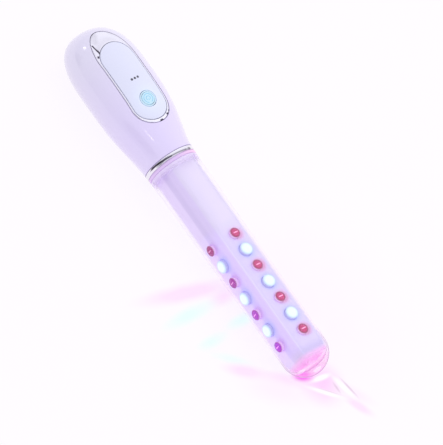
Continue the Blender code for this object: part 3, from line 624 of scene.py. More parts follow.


# Each painted dark reflection has its start, its end, its half width and how dark it is.
frame_painted_reflections = [
    ((-0.0801, -0.0083), (-0.0755, -0.0084), 0.0009, 1.0),
    ((-0.0755, -0.0084), (-0.0723, -0.0085), 0.0007, 1.0),
    ((-0.0722, -0.0104), (-0.0716, -0.0106), 0.0007, 1.0),
    ((-0.0212, -0.0003), (-0.0212, 0.0009), 0.0007, 1.0),
    ((-0.0231, 0.0058), (-0.0234, 0.0065), 0.0007, 1.0),
    ((-0.0246, 0.0083), (-0.0250, 0.0088), 0.0006, 0.8),
    ((-0.0860, -0.0028), (-0.0822, -0.0058), 0.0030, 0.17),
    ((-0.0840, 0.0078), (-0.0760, 0.0145), 0.0030, 0.10),
]
ring_painted_reflections = [
    ((-0.0015, -0.0152), (-0.0008, -0.0110), 0.0008, 1.0),
    ((-0.0008, -0.0110), (-0.0004, -0.0060), 0.0007, 1.0),
    ((-0.0004, -0.0060), (0.0000, 0.0045), 0.0006, 0.7),
    ((0.0000, 0.0045), (0.0002, 0.0080), 0.0006, 0.5),
    ((-0.0003, 0.0072), (0.0000, 0.0084), 0.0008, 0.7),
]
frame_chrome = plated("chrome_frame", (0.91, 0.90, 0.98), frame_painted_reflections)
ring_chrome = plated("chrome_ring", (0.90, 0.89, 0.94), ring_painted_reflections)
print("streaks:", len(frame_painted_reflections), "on the frame,", len(ring_painted_reflections), "on the ring")

# %% The frame round the panel
bead_round = 0.0005
dish_depth, dish_power = 0.0010, 1.2
# In degrees round the crescent from its middle: where the dish ends, and how long its two end walls are.
dish_end, near_wall, far_wall = 50, 8, 34
frame_steps = 20


def edge_drop(distance, radius):
    """How far a rounded edge has fallen at this distance from the rim."""
    if distance >= radius:
        return 0.0
    return radius - math.sqrt(max(0, radius**2 - (radius - distance) ** 2))


frame_inner = pill(*[panel_radius + gap] * 3)
frame_outer = pill(bezel_rear_reach - gap, bezel_front_reach - gap, bezel_half_width - gap)
frame_rings = []
for step in range(frame_steps + 1):
    share = (1 - math.cos(math.pi * step / frame_steps)) / 2
    ring_points = []
    for inner, outer in zip(frame_inner, frame_outer):
        (x, y), width = Vector(inner).lerp(Vector(outer), share), (Vector(outer) - Vector(inner)).length
        drop = edge_drop(share * width, bead_round) + edge_drop((1 - share) * width, bead_round)
        turned_by = math.degrees(math.atan2(abs(inner[1]), panel_rear_x - inner[0]))
        wall = near_wall if inner[1] < 0 else far_wall
        dish_share = min(1, max(0, (dish_end - turned_by) / wall))
        dish = dish_depth * (dish_share**2 * (3 - 2 * dish_share)) * math.sin(math.pi * share) ** dish_power
        ring_points.append((x, y, skin_top(x, y) - drop - dish))
    frame_rings.append(ring_points)
frame_bottom_inset = 0.0016
for outline in (frame_outer, frame_inner):
    frame_rings.append([(x, y, skin_top(x, y, frame_bottom_inset)) for x, y in outline])
piece("panel_frame", lofted(frame_rings, hoop=True), frame_chrome, "wand", "chrome_trim", "bezel")

# %% The neck ring
ring_radius = 0.0163
ring_rear_x = -0.0022
groove_x, groove_half_width, groove_depth = -0.0013, 0.00016, 0.00025
barrel_middle = (groove_x + groove_half_width + ring_front_x) / 2
barrel_half = ring_front_x - barrel_middle
ring_profile = [
    (bore_radius, ring_rear_x),
    (ring_radius - 0.00020, ring_rear_x),
    (ring_radius - 0.00006, ring_rear_x + 0.00015),
    (ring_radius - 0.00004, groove_x - 0.0003),
    (ring_radius - 0.00010, groove_x - groove_half_width),
    (ring_radius - groove_depth, groove_x),
]
for step in range(13):
    across_barrel = step / 6 - 1
    drop = 0.00030 * across_barrel**2 + 0.00012 * across_barrel**8
    ring_profile.append((ring_radius - drop, barrel_middle + barrel_half * across_barrel))
ring_profile.append((bore_radius, ring_front_x))
ring_mesh = turned(ring_profile, 160, hoop=True)
piece("chrome_neck_ring", ring_mesh, ring_chrome, "wand", "chrome_trim", "neck_ring")

# %% [markdown]
# ## The panel, the button and its ring of light
#
# The panel is a thin ice-blue plate that follows the handle's curve. Its skin is a fan of rings between the
# button's hole and the plate's outline, so that both rims are smooth and can be rounded. The button's cap
# and the light ring follow the same curve. The cap has a fine groove with a lit ring in it, and a small lit
# sign in its middle. Ring and sign are thin strips laid on the cap's skin, as inlaid light guides are,
# because a sign that is only painted would vanish from the exported shape.

# %% The panel plate
button_x = -0.0359
light_inner, light_outer = 0.0042, 0.00495
hole_radius = light_outer + gap
plate_top_inset, plate_edge = 0.0001, 0.00025
plate_sides, plate_steps = 256, 44


def stadium_reach(turn):
    """How far the panel's outline lies from the button's centre in this direction."""
    cos, sin = math.cos(turn), math.sin(turn)
    if abs(sin) > 1e-9:
        reach = panel_radius / abs(sin)
        if panel_rear_x <= button_x + reach * cos <= panel_front_x:
            return reach
    offset = button_x - (panel_front_x if cos > 0 else panel_rear_x)
    return -offset * cos + math.sqrt((offset * cos) ** 2 - offset**2 + panel_radius**2)


plate_turns = [2 * math.pi * i / plate_sides for i in range(plate_sides)]
plate_reaches = [stadium_reach(turn) for turn in plate_turns]


def plate_ring(share, inset, rounded=True):
    """The plate's ring at this share of the way from the hole to the outline."""
    points = []
    for turn, outline_reach in zip(plate_turns, plate_reaches):
        reach = hole_radius + (outline_reach - hole_radius) * share
        x, y = button_x + reach * math.cos(turn), reach * math.sin(turn)
        drop = 0.0
        if rounded:
            drop = edge_drop(reach - hole_radius, plate_edge) + edge_drop(outline_reach - reach, plate_edge)
        points.append((x, y, skin_top(x, y, inset) - drop))
    return points


plate_rings = [
    plate_ring((1 - math.cos(math.pi * i / plate_steps)) / 2, plate_top_inset) for i in range(plate_steps + 1)
]
plate_rings += [plate_ring(share, panel_bottom_inset, rounded=False) for share in (1, 0.66, 0.33, 0)]


dots_x, dot_pitch, dot_radius = -0.0502, 0.0022, 0.00080
button_light_reach = 0.015


def panel_finish():
    """Ice-blue acrylic: a pale colour under a deep gloss, with the lit button's light painted on as a glow
    near it, and three dots.
    """
    material, shader, flow = start_material("panel_ice_blue")
    place = object_place(flow)
    x, y, _ = from_neck(flow)
    # Painted light: the lit button's glow on the plate, fading out over button_light_reach.
    from_button = ((x - button_x) ** 2 + y * y) ** 0.5
    glow = larger(1 - from_button / button_light_reach, 0) ** 2
    base = blend(flow, noise(flow, place, 0.010), (0.80, 0.82, 0.96), (0.78, 0.81, 0.955))
    dot = 0.0
    for offset in (-dot_pitch, 0, dot_pitch):
        away = ((x - dots_x) ** 2 + (y - offset) ** 2) ** 0.5
        dot = larger(away.maths("LESS_THAN", away, dot_radius), dot)
    values = {
        "Base Color": blend(flow, dot, base, (0.07, 0.07, 0.10)),
        "Roughness": 0.10 + noise(flow, place, 0.0015, 1.0) * 0.03,
        "Coat Weight": 0.9,
        "Coat Roughness": 0.03,
        "Emission Color": blend(flow, glow, (0, 0, 0), (0.10, 0.30, 0.42)),
        "Emission Strength": 0.5,
    }
    set_sockets(shader, flow, values)
    return material


ice_blue = panel_finish()
piece("panel_plate_fine", lofted(plate_rings, hoop=True), ice_blue, "wand", "panel_blue", "panel_plate")

# %% The button and its ring of light
button_radius, stem_radius = 0.0039, 0.0016
cap_bottom = skin_top(button_x, 0) - 0.0016
stem_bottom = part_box("switch_plunger")[1].z - neck.z + gap
groove_radius, cap_groove_half, cap_groove_depth = 0.0028, 0.00028, 0.00012
button_sides = 96


def skin_circle(radius, depth, inset=0.0):
    """A ring about the button's centre that follows the skin, this far under it."""
    if radius <= 0:
        return [(button_x, 0, skin_top(button_x, 0, inset) - depth)]
    points = []
    for i in range(button_sides):
        turn = 2 * math.pi * i / button_sides
        x, y = button_x + radius * math.cos(turn), radius * math.sin(turn)
        points.append((x, y, skin_top(x, y, inset) - depth))
    return points


def level_circle(radius, height):
    points = arc((button_x, 0), (radius, radius), 0, 360 * (1 - 1 / button_sides), button_sides)
    return [(x, y, height) for x, y in points]


cap_rings = [skin_circle(0, 0)]
for radius in (0.0006, 0.0012, 0.0018, 0.0022, 0.0024):
    cap_rings.append(skin_circle(radius, 0))
for share in (-1, -0.6, 0, 0.6, 1):
    depth = cap_groove_depth * (1 - share**2)
    cap_rings.append(skin_circle(groove_radius + share * cap_groove_half, depth))
cap_rim = 0.0003
for short, fallen in rounded_edge(cap_rim, (0, 20, 45, 70, 90)):
    cap_rings.append(skin_circle(button_radius - short, fallen))
cap_rings += [
    level_circle(button_radius, cap_bottom),
    level_circle(stem_radius, cap_bottom),
    level_circle(stem_radius, stem_bottom),
    [(button_x, 0, stem_bottom)],
]

# %% Lit plastic, the cap and the ring
far_side_y, far_side_reach = -0.004, 0.014


def lit_plastic(name, base, light, strength, low=0.6, far_base=None):
    """Coloured plastic that glows unevenly, perhaps in another colour on its far side: the button's light
    guides, and the seal, whose glow is painted light.
    """
    material, shader, flow = start_material(name)
    cloudy = noise(flow, object_place(flow), 0.0015)
    body = blend(flow, cloudy, base, [channel * 0.9 for channel in base])
    if far_base:
        # On the seal this rosier far side is painted light from the core as well.
        body = blend(flow, ramp(from_neck(flow)[1], far_side_y, far_side_reach), body, far_base)
    values = {
        "Base Color": body,
        "Roughness": 0.25 + cloudy * 0.1,
        "Emission Color": blend(flow, cloudy, light, [channel * low for channel in light]),
        "Emission Strength": strength,
    }
    set_sockets(shader, flow, values)
    return material


button_plastic = lit_plastic("button_ice", (0.62, 0.86, 0.96), (0.10, 0.24, 0.30), 0.3)
button_glow = lit_plastic("button_light", (0.68, 0.85, 0.93), (0.24, 0.34, 0.40), 0.3)
sign_glow = lit_plastic("button_marks", (0.30, 0.62, 0.80), (0.06, 0.26, 0.38), 0.3)
piece("power_button_cap", lofted(cap_rings), button_plastic, "button", "button", "power_button")

light_middle = (light_inner + light_outer) / 2
light_half = (light_outer - light_inner) / 2
light_crown = 0.0002
light_rings = []
for turn in range(0, 181, 20):
    angle = math.radians(turn)
    radius = light_middle - light_half * math.cos(angle)
    light_rings.append(skin_circle(radius, light_crown * (1 - math.sin(angle)), plate_top_inset))
flange_bottom = skin_top(button_x, 0, 0.0013) - 0.0020
light_rings += [level_circle(light_outer, flange_bottom), level_circle(light_inner, flange_bottom)]
light_ring = lofted(light_rings, hoop=True)
piece("button_light_guide", light_ring, button_glow, "wand", "button_light", "button_light_ring")

# %% The lit marks on the button
strip_depth = 0.00015


def strip_on_cap(path, half_width, lift):
    """A flat strip along a path of plan points, laid on the cap's skin, with its ends closed."""
    rings = []
    for i, (x, y) in enumerate(path):
        before, after = Vector(path[max(0, i - 1)]), Vector(path[min(len(path) - 1, i + 1)])
        side = (after - before).normalized().orthogonal() * half_width
        left, right = (x + side.x, y + side.y), (x - side.x, y - side.y)
        left_top, right_top = skin_top(*left), skin_top(*right)
        upper = [(*left, left_top + lift), (*right, right_top + lift)]
        rings.append([*upper, (*right, right_top - strip_depth), (*left, left_top - strip_depth)])
    return capped(rings)


def joined(*meshes):
    """Several meshes as one."""
    bm = bmesh.new()
    for mesh in meshes:
        bm.from_mesh(mesh)
    return plain_mesh("joined", bm)


sign_radius, sign_half_width, sign_lift = 0.0013, 0.00016, 0.00004
ring_half_width, ring_lift = 0.0002, -0.00005
bar_start, bar_step = 0.0004, 0.0003
sign_arc = arc((button_x, 0), (sign_radius, sign_radius), 40, 320, 40)
sign_bar = [(button_x + bar_start + bar_step * i, 0) for i in range(5)]
ring_path = arc((button_x, 0), (groove_radius, groove_radius), 20, 340, 72)
marks = joined(
    strip_on_cap(sign_arc, sign_half_width, sign_lift),
    strip_on_cap(sign_bar, sign_half_width, sign_lift),
    strip_on_cap(ring_path, ring_half_width, ring_lift),
)
piece("button_sign", marks, sign_glow, "button", "button_light")

# %% [markdown]
# ## The neck seal and the clear tube
#
# A soft pink seal sits between the chrome ring and the tube. It glows, rosier on its far side, because light
# from the core runs along the tube's wall into it; that glow is painted into its material. The tube is one
# turned piece: a spigot in the neck, a shoulder, a long wall that tapers a little and a thick dome at the
# tip. A refracting shader would be the first choice for clear plastic. Here it moved the lamps and the core's
# edges away from where the photograph shows them, and a ray tracer can't aim at a lamp through a bend, which
# leaves the core dark and grainy. So rays go straight through, and the plastic shows by what it adds: milk
# where it is seen edge on, at the neck and in the tip, and a gloss. Light and shade are painted into it too:
# a faint glow in the milk, rosy light along the lamps, a pink glow and white glints in the tip, and a dark
# mauve line along its outline near the tip.

# %% The pink seal
def eased(profile, reach, steps=4):
    """A closed profile with its corners rounded, each over this reach or less."""
    points = [Vector(point) for point in profile]
    result = []
    for i, corner in enumerate(points):
        before, after = points[i - 1], points[(i + 1) % len(points)]
        start = corner + (before - corner) * min(0.5, reach / (before - corner).length)
        end = corner + (after - corner) * min(0.5, reach / (after - corner).length)
        for k in range(steps + 1):
            share = k / steps
            result.append(tuple(start.lerp(corner, share).lerp(corner.lerp(end, share), share)))
    return result


seal_rear_x, seal_front_x, seal_radius = 0.0008, 0.0026, 0.0161
seal_profile = [
    (bore_radius, seal_rear_x),
    (seal_radius - 0.0001, seal_rear_x),
    (seal_radius, (seal_rear_x + seal_front_x) / 2),
    (seal_radius - 0.0001, seal_front_x),
    (bore_radius, seal_front_x),
]
# The seal is no lamp: its glow and its rosier far side are painted light from the core.
pink_silicone = lit_plastic(
    "pink_silicone", (0.74, 0.60, 0.88), (0.34, 0.14, 0.36), 0.30, low=0.8, far_base=(0.90, 0.60, 0.80)
)
seal_mesh = turned(eased(seal_profile, 0.0004), 160, hoop=True)
piece("pink_neck_seal", seal_mesh, pink_silicone, "wand", "pink_seal", "seal_ring")

# %% The clear tube
tube_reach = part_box("probe_tube")[1].x - neck.x
tube_neck_radius, tube_tip_radius = 0.0160, 0.01455
bore_neck_radius, bore_tip_radius = 0.0140, 0.0138
dome_depth, tip_wall, bore_dome_depth = 0.0145, 0.0042, 0.0087
tube_rear_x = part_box("probe_tube")[0].x - neck.x
shoulder_x = seal_front_x + gap
dome_start_x = tube_reach - dome_depth
bore_end_x = tube_reach - tip_wall
bore_dome_start_x = bore_end_x - bore_dome_depth
dome_points = 30
tip_light_x, tip_light_reach = 0.1395, 0.0055
rosy_light_start_x, rosy_light_reach = 0.045, 0.030
outline_start_x, outline_reach = 0.126, 0.010
neck_milk_reach = 0.0040
print("tube reach:", round(tube_reach, 4))


def clear_plastic():
    """Clear acrylic: seen straight through, with milk and a gloss where it is edge on, and painted light and
    shade: a faint glow, rosy light, a pink glow and glints in the tip, and a dark mauve outline.
    """
    material, shader, flow = start_material("clear_acrylic")
    place = object_place(flow)
    x, _, _ = from_neck(flow)
    # tip is the painted pink glow in the dome, rosy the painted rosy light along the lamps' half of the tube.
    tip, rosy = ramp(x, tip_light_x, tip_light_reach), ramp(x, rosy_light_start_x, rosy_light_reach)
    slant = {"Vector": place, "Rotation": (0.5, 0, 0.3), "Scale": (2.4, 0.7, 1)}
    streaks = noise(flow, flow.node("ShaderNodeMapping", None, slant), 0.0060, 0.0)
    # Painted glints: white highlights in the tip.
    painted_glints = ramp(streaks, 0.60, 0.05) * tip
    edge_on = flow.node("ShaderNodeLayerWeight", None, {"Blend": 0.5}, output="Facing")
    # A painted dark mauve line along the outline near the tip.
    outline = ramp(edge_on, 0.64, 0.18) * ramp(x, outline_start_x, outline_reach)
    at_neck = 1 - ramp(x, shoulder_x, neck_milk_reach)
    veil = 0.015 + edge_on**5 * 0.40 + tip * (0.20 + painted_glints * 0.3) + outline * 0.36 + at_neck * 0.75
    milk_with_painted_light_and_shade = layered(
        flow,
        blend(flow, rosy, (0.88, 0.82, 0.96), (0.95, 0.80, 0.97)),
        (tip, (0.95, 0.34, 0.76)),
        (painted_glints, (1.0, 0.97, 1.0)),
        (outline, (0.28, 0.06, 0.34)),
    )
    values = {
        "Base Color": milk_with_painted_light_and_shade,
        "Roughness": 0.05 + noise(flow, place, 0.003, 1.0) * 0.02,
        # Painted glow: faint in the milk, pink in the tip.
        "Emission Color": blend(flow, tip, (0.08, 0.06, 0.10), (0.16, 0.03, 0.12)),
        "Emission Strength": 1.0,
    }
    set_sockets(shader, flow, values)
    through = flow.node("ShaderNodeBsdfTransparent", None, {"Color": colour(0.993, 0.985, 0.997)})
    gloss_values = {"Color": colour(1, 1, 1), "Roughness": 0.03}
    gloss = flow.node("ShaderNodeBsdfAnisotropic", None, gloss_values)
    milk = Flow(flow.tree, shader.outputs[0])
    milky_part = flow.node("ShaderNodeMixShader", None, {0: veil, 1: through, 2: milk})
    mirror_share = (0.02 + edge_on**5 * 0.5) * (1 - at_neck)
    mixed = flow.node("ShaderNodeMixShader", None, {0: mirror_share, 1: milky_part, 2: gloss})
    flow.tree.links.new(mixed.socket, flow.tree.nodes["Material Output"].inputs["Surface"])
    return material


tube_profile = [
    *arc((dome_start_x, 0), (dome_depth, tube_tip_radius), 0, 90, dome_points),
    (shoulder_x + 0.0008, tube_neck_radius),
    (shoulder_x + 0.0005, tube_neck_radius),
    (shoulder_x + 0.0001, tube_neck_radius - 0.0002),
    (shoulder_x, tube_neck_radius - 0.0005),
    (shoulder_x, bore_radius - gap),
    (tube_rear_x, bore_radius - gap),
    (tube_rear_x, bore_neck_radius),
    (shoulder_x, bore_neck_radius),
    *arc((bore_dome_start_x, 0), (bore_dome_depth, bore_tip_radius), 90, 0, dome_points),
]
tube_profile = [(max(0, radius), x) for x, radius in tube_profile]
tube_profile[0], tube_profile[-1] = (0, tube_reach), (0, bore_end_x)
acrylic = clear_plastic()
piece("clear_tube", turned(tube_profile, 128), acrylic, "wand", "clear_tube", "probe_tube")

# %% [markdown]
# ## The core
#
# The core is a hollow square bar with rounded corners and a round hole for each light. It is moulded in a
# milky plastic, so light spreads in it: bluish round the blue lamps, rosy round the red ones. The halos lie
# a little beside the lamps, up and towards the far side. Beyond the last lamp the bar darkens for a few
# millimetres, and its end glows rosy in the dome. Light that is simulated inside milk takes many rays and
# stays grainy in a short render. This light and shade belong to the core and not to the camera, so they are
# painted into the core's material, from how far each point is from the nearest lamp and on which side of the
# bar it is: the halos, a glow that differs from side to side, painted shade on the upper part of each side,
# along the far edge and before the end, a painted highlight along the corners, and the rosy glow at the end.

# %% The core's finish
core_turn = math.radians(-3.9)
core_half_side, core_corner, core_wall = 0.0110, 0.0048, 0.0016
core_rear_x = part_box("inner_core")[0].x - neck.x
core_front_x = 0.1345
first_emitter_x, emitter_pitch, emitter_count, row_count = 0.0572, 0.0115, 7, 4
blue_shift, red_shift = 0.0015, 0.0022
blue_halo, red_halo = (0.0038, 0.0046), (0.0030, 0.0034)
lamps_length, far_edge_y = 0.0730, 0.0062
rosy_end_x, rosy_end_reach = 0.1385, 0.0022
dim_end_x, dim_end_reach = 0.1335, 0.004


def core_plastic():
    """Milky plastic with light and shade painted in: halos, each side lit in its own tone, painted shade and
    a painted corner highlight, and a rosy end.
    """
    material, shader, flow = start_material("milky_core")
    place = object_place(flow)
    x, y, z = from_neck(flow)
    turned_y = y * math.cos(core_turn) + z * math.sin(core_turn)
    turned_z = z * math.cos(core_turn) - y * math.sin(core_turn)
    along = x - first_emitter_x

    def near(offset, shift, radius, reach):
        """1 beside a lamp of the kind that starts at this offset, 0 beyond its reach."""
        across = smaller(abs(turned_y - shift), abs(turned_z - shift))
        shifted = along - offset + emitter_pitch
        phase = flow.maths("FLOORED_MODULO", shifted, 2 * emitter_pitch) - emitter_pitch
        distance = (phase * phase + across * across) ** 0.5
        return (1 - ramp(distance, radius, reach)) ** 2

    # Where a point lies along the bar.
    lit_part = ramp(along, -0.010, 0.014)
    among_lamps = lit_part * (1 - ramp(along, lamps_length, 0.002))
    end_part = ramp(along, 0.0735, 0.008)
    # Painted light and shade at the end: a rosy glow on it, and painted shade on the upper part just before
    # it.
    at_end = ramp(x, rosy_end_x, rosy_end_reach)
    shade_before_end = ramp(x, dim_end_x, dim_end_reach) * ramp(turned_z, 0, 0.003)

    # Where it lies round the bar.
    side_facet = ramp(abs(turned_y) - abs(turned_z), -0.0015, 0.0008)
    # Painted shade on the upper part of each side and along the far edge, and a painted highlight along the
    # corners.
    upper_side_shade = side_facet * ramp(turned_z, 0, 0.0012) * (1 - ramp(turned_z, 0.0045, 0.003) * 0.5)
    ridge_highlight = (1 - ramp(abs(abs(turned_y) + 0.0019 - abs(turned_z)), 0.0002, 0.0006)) * lit_part
    far_edge_shade = ramp(turned_y, far_edge_y, 0.0026)
    beside_edges = larger(ramp(0 - turned_y, 0, 0.009), far_edge_shade)

    # Painted halos of the lamps' light.
    blue = near(emitter_pitch, blue_shift, *blue_halo) * among_lamps * (1 - side_facet * 0.4)
    red = near(0, red_shift, *red_halo) * among_lamps * (1 - side_facet * 0.6)
    milk = layered(
        flow,
        blend(flow, noise(flow, place, 0.006), (0.80, 0.765, 0.90), (0.77, 0.735, 0.89)),
        (upper_side_shade, (0.64, 0.615, 0.78)),
        (far_edge_shade * 0.8, (0.68, 0.66, 0.80)),
        (blue * 0.8, (0.56, 0.58, 0.82)),
        (red, blend(flow, side_facet, (0.64, 0.32, 0.50), (0.54, 0.34, 0.70))),
        (shade_before_end, (0.66, 0.63, 0.78)),
        (at_end, (0.84, 0.60, 0.84)),
    )
    # The glow is painted light, in its own tone on each side, dimmer by the edges and at the far edge.
    top_glow = blend(flow, beside_edges, (0.11, 0.095, 0.11), (0.04, 0.03, 0.06))
    lit_glow = blend(flow, far_edge_shade, (0.055, 0.035, 0.16), (0.0, 0.0, 0.10))
    side_glow = blend(flow, lit_part, (0.10, 0.05, 0.15), (0.15, 0.07, 0.32))
    glow = layered(
        flow,
        blend(flow, lit_part, top_glow, lit_glow),
        (side_facet, blend(flow, end_part, side_glow, (0.12, 0.07, 0.18))),
        (blue, (0.03, 0.08, 0.26)),
        (red, (0.16, 0.06, 0.14)),
        (ridge_highlight, (0.14, 0.12, 0.26)),
        (at_end, (0.16, 0.08, 0.16)),
    )
    values = {
        "Base Color": milk,
        "Roughness": 0.38 + noise(flow, place, 0.0012, 1.0) * 0.08,
        "Normal": bump(flow, noise(flow, place, 0.0005, 1.0), 0.000004),
        "Emission Color": glow,
        "Emission Strength": 1.0,
    }
    set_sockets(shader, flow, values)
    return material


# %% The core's bar, its holes and its end
def square_ring(inward, x, share=1.0, points=14):
    """A ring of the core at x: a rounded square, scaled, moved in, and turned with the core."""
    cos, sin = math.cos(core_turn), math.sin(core_turn)
    half_side, radius = [size * share - inward for size in (core_half_side, core_corner)]
    corner = half_side - radius
    outline = []
    for turn, (side, up) in enumerate([(1, 1), (-1, 1), (-1, -1), (1, -1)]):
        middle = (side * corner, up * corner)
        outline += arc(middle, (radius, radius), 90 * turn, 90 * turn + 90, points)
    return [(x, side * cos - up * sin, side * sin + up * cos) for side, up in outline]


milky = core_plastic()
edge, seam = 0.0003, 0.00002
cap_rear_x = core_front_x + gap
bar_front_x = cap_rear_x - seam
bar_rings = [
    (core_wall, core_rear_x),
    (edge, core_rear_x),
    (0, core_rear_x + edge),
    (0, bar_front_x - seam),
    (seam, bar_front_x),
    (core_wall, bar_front_x),
]
bar = lofted([square_ring(inward, x) for inward, x in bar_rings], hoop=True)


def row_turn(row):
    return Matrix.Rotation(core_turn + 2 * math.pi * row / row_count, 4, "X")


red_radius, blue_radius = 0.0030, 0.0039
hole_depth = 0.004
holes = bmesh.new()
for row in range(row_count):
    for i in range(emitter_count):
        radius = (blue_radius if i % 2 else red_radius) + gap
        lift = Matrix.Translation((first_emitter_x + i * emitter_pitch, 0, core_half_side))
        bmesh.ops.create_cone(
            holes,
            cap_ends=True,
            segments=48,
            radius1=radius,
            radius2=radius,
            depth=hole_depth,
            matrix=Matrix.Translation(neck) @ row_turn(row) @ lift,
        )
core_mesh = cut(bar, plain_mesh("holes", holes))
piece("milky_core_bar", core_mesh, milky, "wand", "core_white", "inner_core")

end_x, end_share, end_round = 0.1420, 0.94, 0.0024
end_rings = [[(cap_rear_x, 0, 0)], square_ring(seam, cap_rear_x), square_ring(0, cap_rear_x + seam)]
for short, fallen in rounded_edge(end_round, range(0, 91, 9)):
    end_rings.append(square_ring(fallen, end_x - short, end_share))
end_rings.append([(end_x, 0, 0)])
piece("milky_core_end", lofted(end_rings), milky, "wand", "core_white", "core_end_cap")

# %% [markdown]
# ## The lamps
#
# Four rows of lamps repeat along the core, red and blue in turn, so one Geometry Nodes tree places them: a
# line of points along the wand, a lamp on each, and the line turned about the wand's axis once for each
# row. The tree is run once for each part of a lamp, because each has a finish of its own. A red one is a
# laser diode: a dark red window in a rim with a pale collar, and the bright bar of its chip. A blue one is
# a wide dome, blown out to white in the middle. Each part has three zones, its middle, a ring and its side,
# and an attribute on the mesh says which, so the zones turn with the lamp. On the low side of the wand the
# red ones turn violet towards the tip, as they do in the photograph.

# %% The tree that places one part of a lamp
inputs = {"Part": "Object", "First": "Float", "Pitch": "Float", "Count": "Int", "Rows": "Int"}
inputs |= {"Turn": "Float", "Neck": "Vector", "Finish": "Material"}
lamp_tree, given = new_tree("lamps in rows", inputs)
flow = Flow(lamp_tree)
start = flow.node("ShaderNodeCombineXYZ", None, {"X": given["First"]})
step = flow.node("ShaderNodeCombineXYZ", None, {"X": given["Pitch"]})
line_values = {"Count": given["Count"], "Start Location": start, "Offset": step}
line = flow.node("GeometryNodeMeshLine", None, line_values)
part = flow.node("GeometryNodeObjectInfo", None, {"Object": given["Part"]}, output="Geometry")
row = flow.node("GeometryNodeInstanceOnPoints", None, {"Points": line, "Instance": part})
axis_line = flow.node("GeometryNodeMeshLine", None, {"Count": given["Rows"], "Offset": (0, 0, 0)})
turn = flow.node("GeometryNodeInputIndex") * (2 * math.pi) / given["Rows"] + given["Turn"]
turn_vector = flow.node("ShaderNodeCombineXYZ", None, {"X": turn})
row_values = {"Points": axis_line, "Instance": row, "Rotation": turn_vector}
rows = flow.node("GeometryNodeInstanceOnPoints", None, row_values)
placed = flow.node("GeometryNodeTransform", None, {"Geometry": rows, "Translation": given["Neck"]})
end_tree(lamp_tree, placed, given["Finish"])

# %% One lamp of each kind
emitter_reach = 0.01355
red_shoulder, blue_shoulder = core_half_side + 0.0020, core_half_side + 0.0019
window_shoulder = red_shoulder - 0.0002
lamp_foot = core_half_side - core_wall
edge_value, hair = 0.96, 0.00001


def upright(profile, shoulder, sides=40):
    """A profile of (radius, height) points turned about a lamp's own axis.

    Each point keeps how far out it lies, up to edge_value, or 1 where it is on the side under the shoulder.
    """
    rings = []
    for radius, height in profile:
        if radius <= 0:
            rings.append([(0, 0, height)])
        else:
            turns = [2 * math.pi * i / sides for i in range(sides)]
            rings.append([(radius * math.cos(turn), radius * math.sin(turn), height) for turn in turns])
    mesh = lofted(rings)
    mesh.transform(Matrix.Translation(-neck))
    widest = max(radius for radius, _ in profile)
    rim = mesh.attributes.new("rim", "FLOAT", "POINT")
    for vertex, item in zip(mesh.vertices, rim.data):
        share = edge_value * math.hypot(vertex.co.x, vertex.co.y) / widest
        item.value = 1.0 if vertex.co.z < shoulder - hair else share
    return mesh


def lamp_dome(radius, shoulder, steps=10):
    dome = arc((0, shoulder), (radius, emitter_reach - shoulder), 90, 0, steps)
    dome[0] = (0, emitter_reach)
    return upright([*dome, (radius, shoulder - 0.0003), (radius, lamp_foot), (0, lamp_foot)], shoulder)


rim_width, collar_radius = 0.0004, 0.0034
red_window = lamp_dome(red_radius - rim_width, window_shoulder)
collar_height = red_shoulder - 0.0003
red_rim = upright(
    [
        (0, lamp_foot),
        (red_radius, lamp_foot),
        (red_radius, collar_height - 0.0001),
        (collar_radius, collar_height),
        (red_radius, red_shoulder),
        (red_radius - rim_width / 2, red_shoulder + 0.0001),
        (red_radius - rim_width, red_shoulder - 0.0001),
        (red_radius - rim_width, lamp_foot + 0.0005),
        (0, lamp_foot + 0.0005),
    ],
    collar_height,
)
blue_dome = lamp_dome(blue_radius, blue_shoulder, 14)


def bar_on_window():
    """The chip's bright bar: a short strip over the window's middle, across the wand."""
    half_length, half_width, lift, depth, steps = 0.0017, 0.00034, 0.00003, 0.0001, 12
    radius, height = red_radius - rim_width, emitter_reach - window_shoulder
    rings = []
    for i in range(steps + 1):
        y = half_length * (2 * i / steps - 1)
        width = half_width * math.sqrt(max(0.02, 1 - (y / half_length) ** 4))
        xs = [width * share for share in (-1, -0.5, 0, 0.5, 1)]
        tops = [window_shoulder + height * math.sqrt(1 - (y * y + x * x) / radius**2) for x in xs]
        upper = [(x, y, top + lift) for x, top in zip(xs, tops)]
        lower = [(x, y, top - depth) for x, top in zip(reversed(xs), reversed(tops))]
        rings.append(upper + lower)
    mesh = capped(rings)
    mesh.transform(Matrix.Translation(-neck))
    return mesh


bar_mesh = bar_on_window()
for part_mesh in (red_window, red_rim, blue_dome, bar_mesh):
    print("a lamp's part:", len(part_mesh.polygons), "faces")


# %% The lamps' finishes and places
side_at, side_soft = edge_value + 0.005, 0.03
low_side_y, low_side_reach = 0.008, 0.003
violet_start_x, violet_reach = -0.002, 0.062


